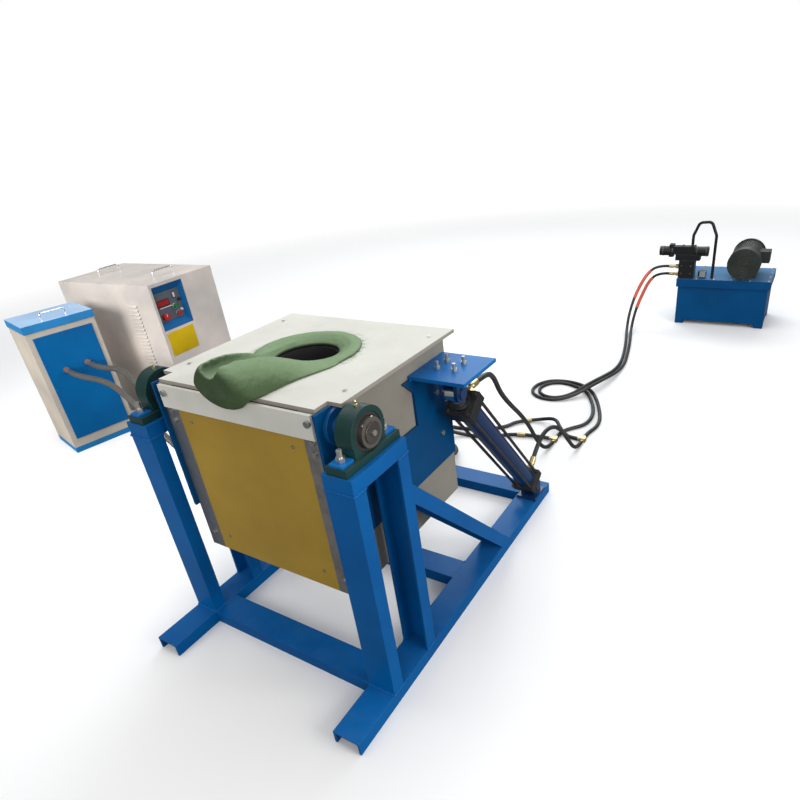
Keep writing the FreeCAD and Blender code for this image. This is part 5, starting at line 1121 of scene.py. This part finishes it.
def smooth_path(name, points):
    curve = bpy.data.curves.new(name, "CURVE")
    curve.dimensions = "3D"
    curve.resolution_u = CURVE_STEPS
    spline = curve.splines.new("NURBS")
    spline.points.add(len(points) - 1)
    for point, place in zip(spline.points, points):
        point.co = (*place, 1.0)
    spline.order_u = 3
    spline.use_endpoint_u = True
    holder = bpy.data.objects.new(name, curve)
    scene.collection.objects.link(holder)
    settled = holder.evaluated_get(bpy.context.evaluated_depsgraph_get())
    line = bpy.data.meshes.new_from_object(settled)
    path = [vertex.co.copy() for vertex in line.vertices]
    bpy.data.objects.remove(holder)
    bpy.data.curves.remove(curve)
    bpy.data.meshes.remove(line)
    return path


def frames_along(path):
    ways = []
    for i in range(len(path)):
        before = path[max(i - 1, 0)]
        after = path[min(i + 1, len(path) - 1)]
        ways.append((after - before).normalized())
    side = ways[0].orthogonal().normalized()
    frames = []
    for way in ways:
        side = (side - way * side.dot(way)).normalized()
        frames.append((way, side, way.cross(side)))
    return frames


def sweep(shape, path, radius_at, sides=TUBE_SIDES, closed=True):
    rings = []
    for i, (place, (way, side, up)) in enumerate(zip(path, frames_along(path))):
        radius = radius_at(i)
        ring = []
        for k in range(sides):
            a = 2 * math.pi * k / sides
            ring.append(shape.verts.new(place + side * (radius * math.cos(a)) + up * (radius * math.sin(a))))
        rings.append(ring)
    for lower, upper in zip(rings, rings[1:]):
        for k in range(sides):
            j = (k + 1) % sides
            shape.faces.new([lower[k], lower[j], upper[j], upper[k]])
    if closed:
        shape.faces.new(rings[0][::-1])
        shape.faces.new(rings[-1])


def part_of(path, start, end):
    gone = 0.0
    kept = []
    for before, after in zip(path, path[1:]):
        step = (after - before).length
        if start <= gone <= end:
            kept.append(before.copy())
        gone += step
    return kept


def rubber(name, tint, wet=0.3, rough=0.55):
    made, graph, socket = new_material(name)
    place = graph.place()
    cloud = graph.band(graph.noise(place, 12.0, 5.0, 0.65), 0.38, 0.70)
    fine = graph.noise(place, 300.0, 2.0, 0.6)
    graph.put(graph.blend(graph.maths("MULTIPLY", cloud, 0.35), tint, colour(0.12, 0.11, 0.10)), socket["Base Color"])
    graph.put(graph.band(cloud, 0.0, 1.0, rough - wet * 0.5, rough), socket["Roughness"])
    graph.put(graph.bump(fine, 0.25, 0.0005), socket["Normal"])
    return made


HOSE_RUBBER = rubber("hose_rubber", colour(0.013, 0.013, 0.014))
LEAD_RUBBER = rubber("lead_rubber", colour(0.070, 0.066, 0.060), rough=0.5)
HOSE_RADIUS = 0.010
LEAD_RADIUS = 0.016
HEAD_PORT = (0.420, 0.74453, 0.79330)
HEAD_BEND = (0.420, 0.82453, 0.79330)
BASE_PORT = (0.420, 1.21808, 0.21666)
BASE_BEND = (0.420, 1.28028, 0.26697)
ROUTES = {
    "right_head_hose": [
        HEAD_PORT, HEAD_BEND, (0.404, 0.906, 0.744), (0.384, 0.992, 0.636), (0.362, 1.120, 0.520),
        (0.340, 1.252, 0.412), (0.322, 1.368, 0.306), (0.306, 1.468, 0.200), (0.298, 1.540, 0.109),
        (0.311, 1.597, 0.034), (0.318, 1.661, 0.010), (0.318, 1.706, 0.010)],
    "right_base_hose": [
        BASE_PORT, BASE_BEND, (0.427, 1.362, 0.290), (0.436, 1.452, 0.260), (0.444, 1.534, 0.184),
        (0.450, 1.602, 0.095), (0.454, 1.662, 0.030), (0.458, 1.717, 0.010), (0.458, 1.760, 0.010)],
    "left_head_hose": [
        (-HEAD_PORT[0], *HEAD_PORT[1:]), (-HEAD_BEND[0], *HEAD_BEND[1:]),
        (-0.404, 0.906, 0.744), (-0.384, 0.992, 0.636), (-0.362, 1.120, 0.514), (-0.345, 1.249, 0.399),
        (-0.326, 1.355, 0.284), (-0.308, 1.442, 0.184), (-0.284, 1.518, 0.096), (-0.242, 1.584, 0.032),
        (-0.170, 1.616, 0.010), (-0.080, 1.624, 0.010), (0.000, 1.656, 0.010), (0.070, 1.704, 0.0135),
        (0.196, 1.736, 0.0135), (0.288, 1.736, 0.0135)],
    "left_base_hose": [
        (-BASE_PORT[0], *BASE_PORT[1:]), (-BASE_BEND[0], *BASE_BEND[1:]),
        (-0.427, 1.362, 0.290), (-0.434, 1.452, 0.260), (-0.430, 1.532, 0.184), (-0.406, 1.598, 0.102),
        (-0.360, 1.646, 0.034), (-0.290, 1.670, 0.010), (-0.200, 1.678, 0.010), (-0.112, 1.702, 0.010),
        (-0.044, 1.742, 0.010), (0.010, 1.782, 0.010), (0.043, 1.855, 0.0135), (0.152, 1.920, 0.0135),
        (0.237, 1.905, 0.043), (0.282, 1.869, 0.053), (0.311, 1.828, 0.044), (0.345, 1.802, 0.022),
        (0.385, 1.790, 0.010), (0.428, 1.790, 0.010)],
    "pressure_hose": [
        (0.430, 3.828, 0.430), (0.344, 3.828, 0.430), (0.280, 3.798, 0.380), (0.240, 3.728, 0.292),
        (0.218, 3.644, 0.200), (0.212, 3.566, 0.106), (0.222, 3.490, 0.026), (0.246, 3.395, 0.010),
        (0.288, 3.225, 0.010), (0.332, 3.010, 0.010), (0.352, 2.862, 0.010), (0.352, 2.720, 0.018),
        (0.338, 2.590, 0.038), (0.316, 2.476, 0.052), (0.277, 2.376, 0.050), (0.222, 2.285, 0.022),
        (0.144, 2.223, 0.010), (0.060, 2.226, 0.010), (0.000, 2.280, 0.010), (-0.011, 2.358, 0.010),
        (0.030, 2.425, 0.010), (0.104, 2.452, 0.010), (0.202, 2.422, 0.010), (0.282, 2.372, 0.010),
        (0.348, 2.266, 0.010), (0.400, 2.150, 0.010), (0.424, 2.040, 0.010), (0.412, 1.946, 0.010),
        (0.351, 1.884, 0.010), (0.318, 1.824, 0.010), (0.318, 1.766, 0.010)],
    "return_hose": [
        (0.430, 3.860, 0.366), (0.346, 3.860, 0.366), (0.288, 3.830, 0.313), (0.262, 3.758, 0.232),
        (0.246, 3.672, 0.158), (0.242, 3.592, 0.084), (0.250, 3.508, 0.020), (0.274, 3.404, 0.010),
        (0.315, 3.230, 0.010), (0.357, 3.013, 0.010), (0.380, 2.862, 0.010), (0.380, 2.716, 0.018),
        (0.366, 2.580, 0.038), (0.344, 2.464, 0.052), (0.304, 2.356, 0.050), (0.238, 2.260, 0.024),
        (0.152, 2.195, 0.010), (0.048, 2.190, 0.010), (-0.038, 2.252, 0.010), (-0.054, 2.358, 0.010),
        (-0.004, 2.450, 0.010), (0.098, 2.484, 0.010), (0.216, 2.464, 0.010), (0.306, 2.396, 0.010),
        (0.376, 2.282, 0.010), (0.430, 2.160, 0.010), (0.472, 2.046, 0.010), (0.482, 1.950, 0.010),
        (0.458, 1.866, 0.010), (0.458, 1.820, 0.010)],
    "inner_lead": [
        (-2.2389, 0.6831, 0.512), (-2.1216, 0.6581, 0.512), (-1.896, 0.689, 0.500), (-1.722, 0.672, 0.448),
        (-1.582, 0.654, 0.374), (-1.454, 0.640, 0.284), (-1.352, 0.655, 0.174), (-1.260, 0.690, 0.088),
        (-1.160, 0.738, 0.026), (-1.055, 0.800, 0.016), (-0.950, 0.875, 0.016), (-0.850, 0.960, 0.016),
        (-0.760, 1.050, 0.016), (-0.690, 1.140, 0.016), (-0.640, 1.235, 0.016), (-0.600, 1.330, 0.016),
        (-0.545, 1.412, 0.016), (-0.474, 1.477, 0.016), (-0.384, 1.500, 0.016), (-0.300, 1.482, 0.016),
        (-0.234, 1.433, 0.026), (-0.192, 1.368, 0.050), (-0.170, 1.296, 0.084), (-0.168, 1.222, 0.128),
        (-0.168, 1.150, 0.182), (-0.168, 1.088, 0.246), (-0.168, 1.035, 0.318), (-0.168, 0.985, 0.382),
        (-0.168, 0.922, 0.432), (-0.168, 0.848, 0.455), (-0.168, 0.770, 0.455)],
    "outer_lead": [
        (-2.2136, 0.8024, 0.518), (-2.0962, 0.7775, 0.518), (-1.938, 0.806, 0.522), (-1.798, 0.784, 0.476),
        (-1.670, 0.764, 0.396), (-1.557, 0.748, 0.292), (-1.455, 0.745, 0.182), (-1.350, 0.756, 0.092),
        (-1.235, 0.790, 0.028), (-1.125, 0.842, 0.016), (-1.020, 0.905, 0.016), (-0.920, 0.980, 0.016),
        (-0.830, 1.065, 0.016), (-0.757, 1.158, 0.016), (-0.700, 1.255, 0.016), (-0.655, 1.355, 0.016),
        (-0.605, 1.450, 0.016), (-0.525, 1.520, 0.016), (-0.425, 1.554, 0.016), (-0.320, 1.549, 0.016),
        (-0.225, 1.512, 0.016), (-0.148, 1.456, 0.020), (-0.096, 1.384, 0.044), (-0.068, 1.302, 0.082),
        (-0.060, 1.222, 0.128), (-0.060, 1.150, 0.182), (-0.060, 1.088, 0.246), (-0.060, 1.035, 0.318),
        (-0.060, 0.985, 0.382), (-0.060, 0.922, 0.432), (-0.060, 0.848, 0.455), (-0.060, 0.770, 0.455)],
}
# Where a cord bends between two bodies: the second body, and the two ends of its bending part
BENDING = {
    "right_head_hose": ("right_cylinder", (0.318, 1.600, 0.010), HEAD_PORT),
    "right_base_hose": ("right_cylinder", (0.458, 1.660, 0.010), BASE_PORT),
    "left_head_hose": ("left_cylinder", (-0.242, 1.584, 0.010), (-HEAD_PORT[0], *HEAD_PORT[1:])),
    "left_base_hose": ("left_cylinder", (-0.360, 1.646, 0.010), (-BASE_PORT[0], *BASE_PORT[1:])),
    "inner_lead": ("furnace", (-0.608, 0.923, -0.154), (-0.168, 0.850, 0.432)),
    "outer_lead": ("furnace", (-0.540, 0.930, -0.208), (-0.060, 0.850, 0.432)),
}
paths = {name: smooth_path(name + "_line", route) for name, route in ROUTES.items()}
SLEEVES = {"pressure_hose": [(0.13, 0.40)], "return_hose": [(0.13, 0.42)]}
SLEEVE_WALL = 0.0022


for name, route in ROUTES.items():
    is_lead = name.endswith("lead")
    radius = LEAD_RADIUS if is_lead else HOSE_RADIUS
    shape = bmesh.new()
    sweep(shape, paths[name], lambda i: radius)
    cord = bpy.data.objects.new(name + "_cord", mesh_of(shape, name + "_cord", smooth=60))
    cord.data.materials.append(LEAD_RUBBER if is_lead else HOSE_RUBBER)
    scene.collection.objects.link(cord)
    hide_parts(name)
    for k, (start, end) in enumerate(SLEEVES.get(name, [])):
        cover = bmesh.new()
        sweep(cover, part_of(paths[name], start, end), lambda i: radius + SLEEVE_WALL)
        add_piece(f"{name}_sleeve_{k + 1}", mesh_of(cover, name + "_sleeve", 60), SLEEVE_RED)
    if name in BENDING:
        body, start, end = BENDING[name]
        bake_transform(cord)
    else:
        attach(cord, BODY)
print("cords", {name: round(sum((b - a).length for a, b in zip(path, path[1:])), 3) for name, path in paths.items()})

# %% [markdown]
# ## Floor, light and background
# The floor only keeps the soft shadows and fades to nothing far out, so the background stays
# white. The workshop's roof lights are one long soft lamp behind and above, which puts the
# pale sheen on faces that look up. A softer lamp stands behind the camera.

# %% Stage and lights
FLOOR_HALF = 14.0
floor_shape = bmesh.new()
bmesh.ops.create_grid(floor_shape, x_segments=1, y_segments=1, size=FLOOR_HALF)
floor_mesh = bpy.data.meshes.new("floor")
floor_shape.to_mesh(floor_mesh)
floor_shape.free()
floor = bpy.data.objects.new("floor", floor_mesh)
floor.location = (-0.5, 1.8, -0.0005)
scene.collection.objects.link(floor)


def floor_white():
    made = bpy.data.materials.new("floor_white")
    made.use_nodes = True
    graph = Graph(made.node_tree)
    shader = made.node_tree.nodes["Principled BSDF"]
    rays = graph.add("ShaderNodeLightPath")
    tone = graph.blend(rays.outputs["Is Camera Ray"], colour(0.20, 0.20, 0.20), colour(0.92, 0.92, 0.92))
    graph.put(tone, shader.inputs["Base Color"])
    shader.inputs["Roughness"].default_value = 0.9
    shader.inputs["Specular IOR Level"].default_value = 0.0
    length = graph.add("ShaderNodeVectorMath", operation="LENGTH")
    graph.put(graph.place(), length.inputs[0])
    fade = graph.band(length.outputs["Value"], 3.2, 7.5)
    clear = graph.add("ShaderNodeBsdfTransparent")
    mix = graph.add("ShaderNodeMixShader")
    graph.put(fade, mix.inputs[0])
    graph.put(shader.outputs[0], mix.inputs[1])
    graph.put(clear.outputs[0], mix.inputs[2])
    graph.put(mix.outputs[0], made.node_tree.nodes["Material Output"].inputs["Surface"])
    return made


floor.data.materials.append(floor_white())

world = bpy.data.worlds.new("workshop")
scene.world = world
world.use_nodes = True
sky = Graph(world.node_tree)
ROOM_LEVEL = 0.52
REFLECTED_LEVEL = 0.16
plain = world.node_tree.nodes["Background"]
plain.inputs["Color"].default_value = colour(0.95, 0.97, 1.0)
white = sky.add("ShaderNodeBackground")
white.inputs["Color"].default_value = colour(1, 1, 1)
rays = sky.add("ShaderNodeLightPath")
seen = sky.maths("MAXIMUM", rays.outputs["Is Camera Ray"], rays.outputs["Is Transmission Ray"])
sky.put(sky.band(rays.outputs["Is Glossy Ray"], 0.0, 1.0, ROOM_LEVEL, REFLECTED_LEVEL), plain.inputs["Strength"])
choice = sky.add("ShaderNodeMixShader")
sky.put(seen, choice.inputs[0])
sky.put(plain.outputs[0], choice.inputs[1])
sky.put(white.outputs[0], choice.inputs[2])
sky.put(choice.outputs[0], world.node_tree.nodes["World Output"].inputs["Surface"])


def soft_lamp(name, place, aim, size, watts, tint=(1, 1, 1), spread=180):
    light = bpy.data.lights.new(name, "AREA")
    light.spread = math.radians(spread)
    light.shape = "RECTANGLE"
    light.size, light.size_y = size
    light.energy = watts
    light.color = tint
    lamp = bpy.data.objects.new(name, light)
    lamp.location = place
    lamp.rotation_euler = (Vector(aim) - Vector(place)).to_track_quat("-Z", "Y").to_euler()
    scene.collection.objects.link(lamp)


soft_lamp("roof_lights", (-1.2, 6.6, 4.2), (-0.3, 1.0, 0.6), (6.0, 2.6), 200, (0.90, 0.96, 1.0))
soft_lamp("key_softbox", (2.4, -4.0, 2.8), (-0.6, 0.8, 0.5), (3.2, 2.4), 74, (1.0, 0.98, 0.95))
soft_lamp("right_fill", (4.6, 0.6, 2.0), (-1.0, 1.0, 0.5), (2.6, 2.0), 120, (1.0, 0.97, 0.94))
soft_lamp("left_fill", (-2.0, -2.4, 1.9), (-2.3, 1.0, 0.5), (2.0, 1.6), 26, (1.0, 0.98, 0.93), spread=70)
soft_lamp("overhead", (-1.0, 1.6, 5.0), (-0.9, 1.3, 0.0), (4.5, 4.5), 95, (1.0, 1.0, 1.0))
print("lamps", len(bpy.data.lights))

# %% [markdown]
# ## The end
# The view layer is updated once more.

# %% Update
bpy.context.view_layer.update()
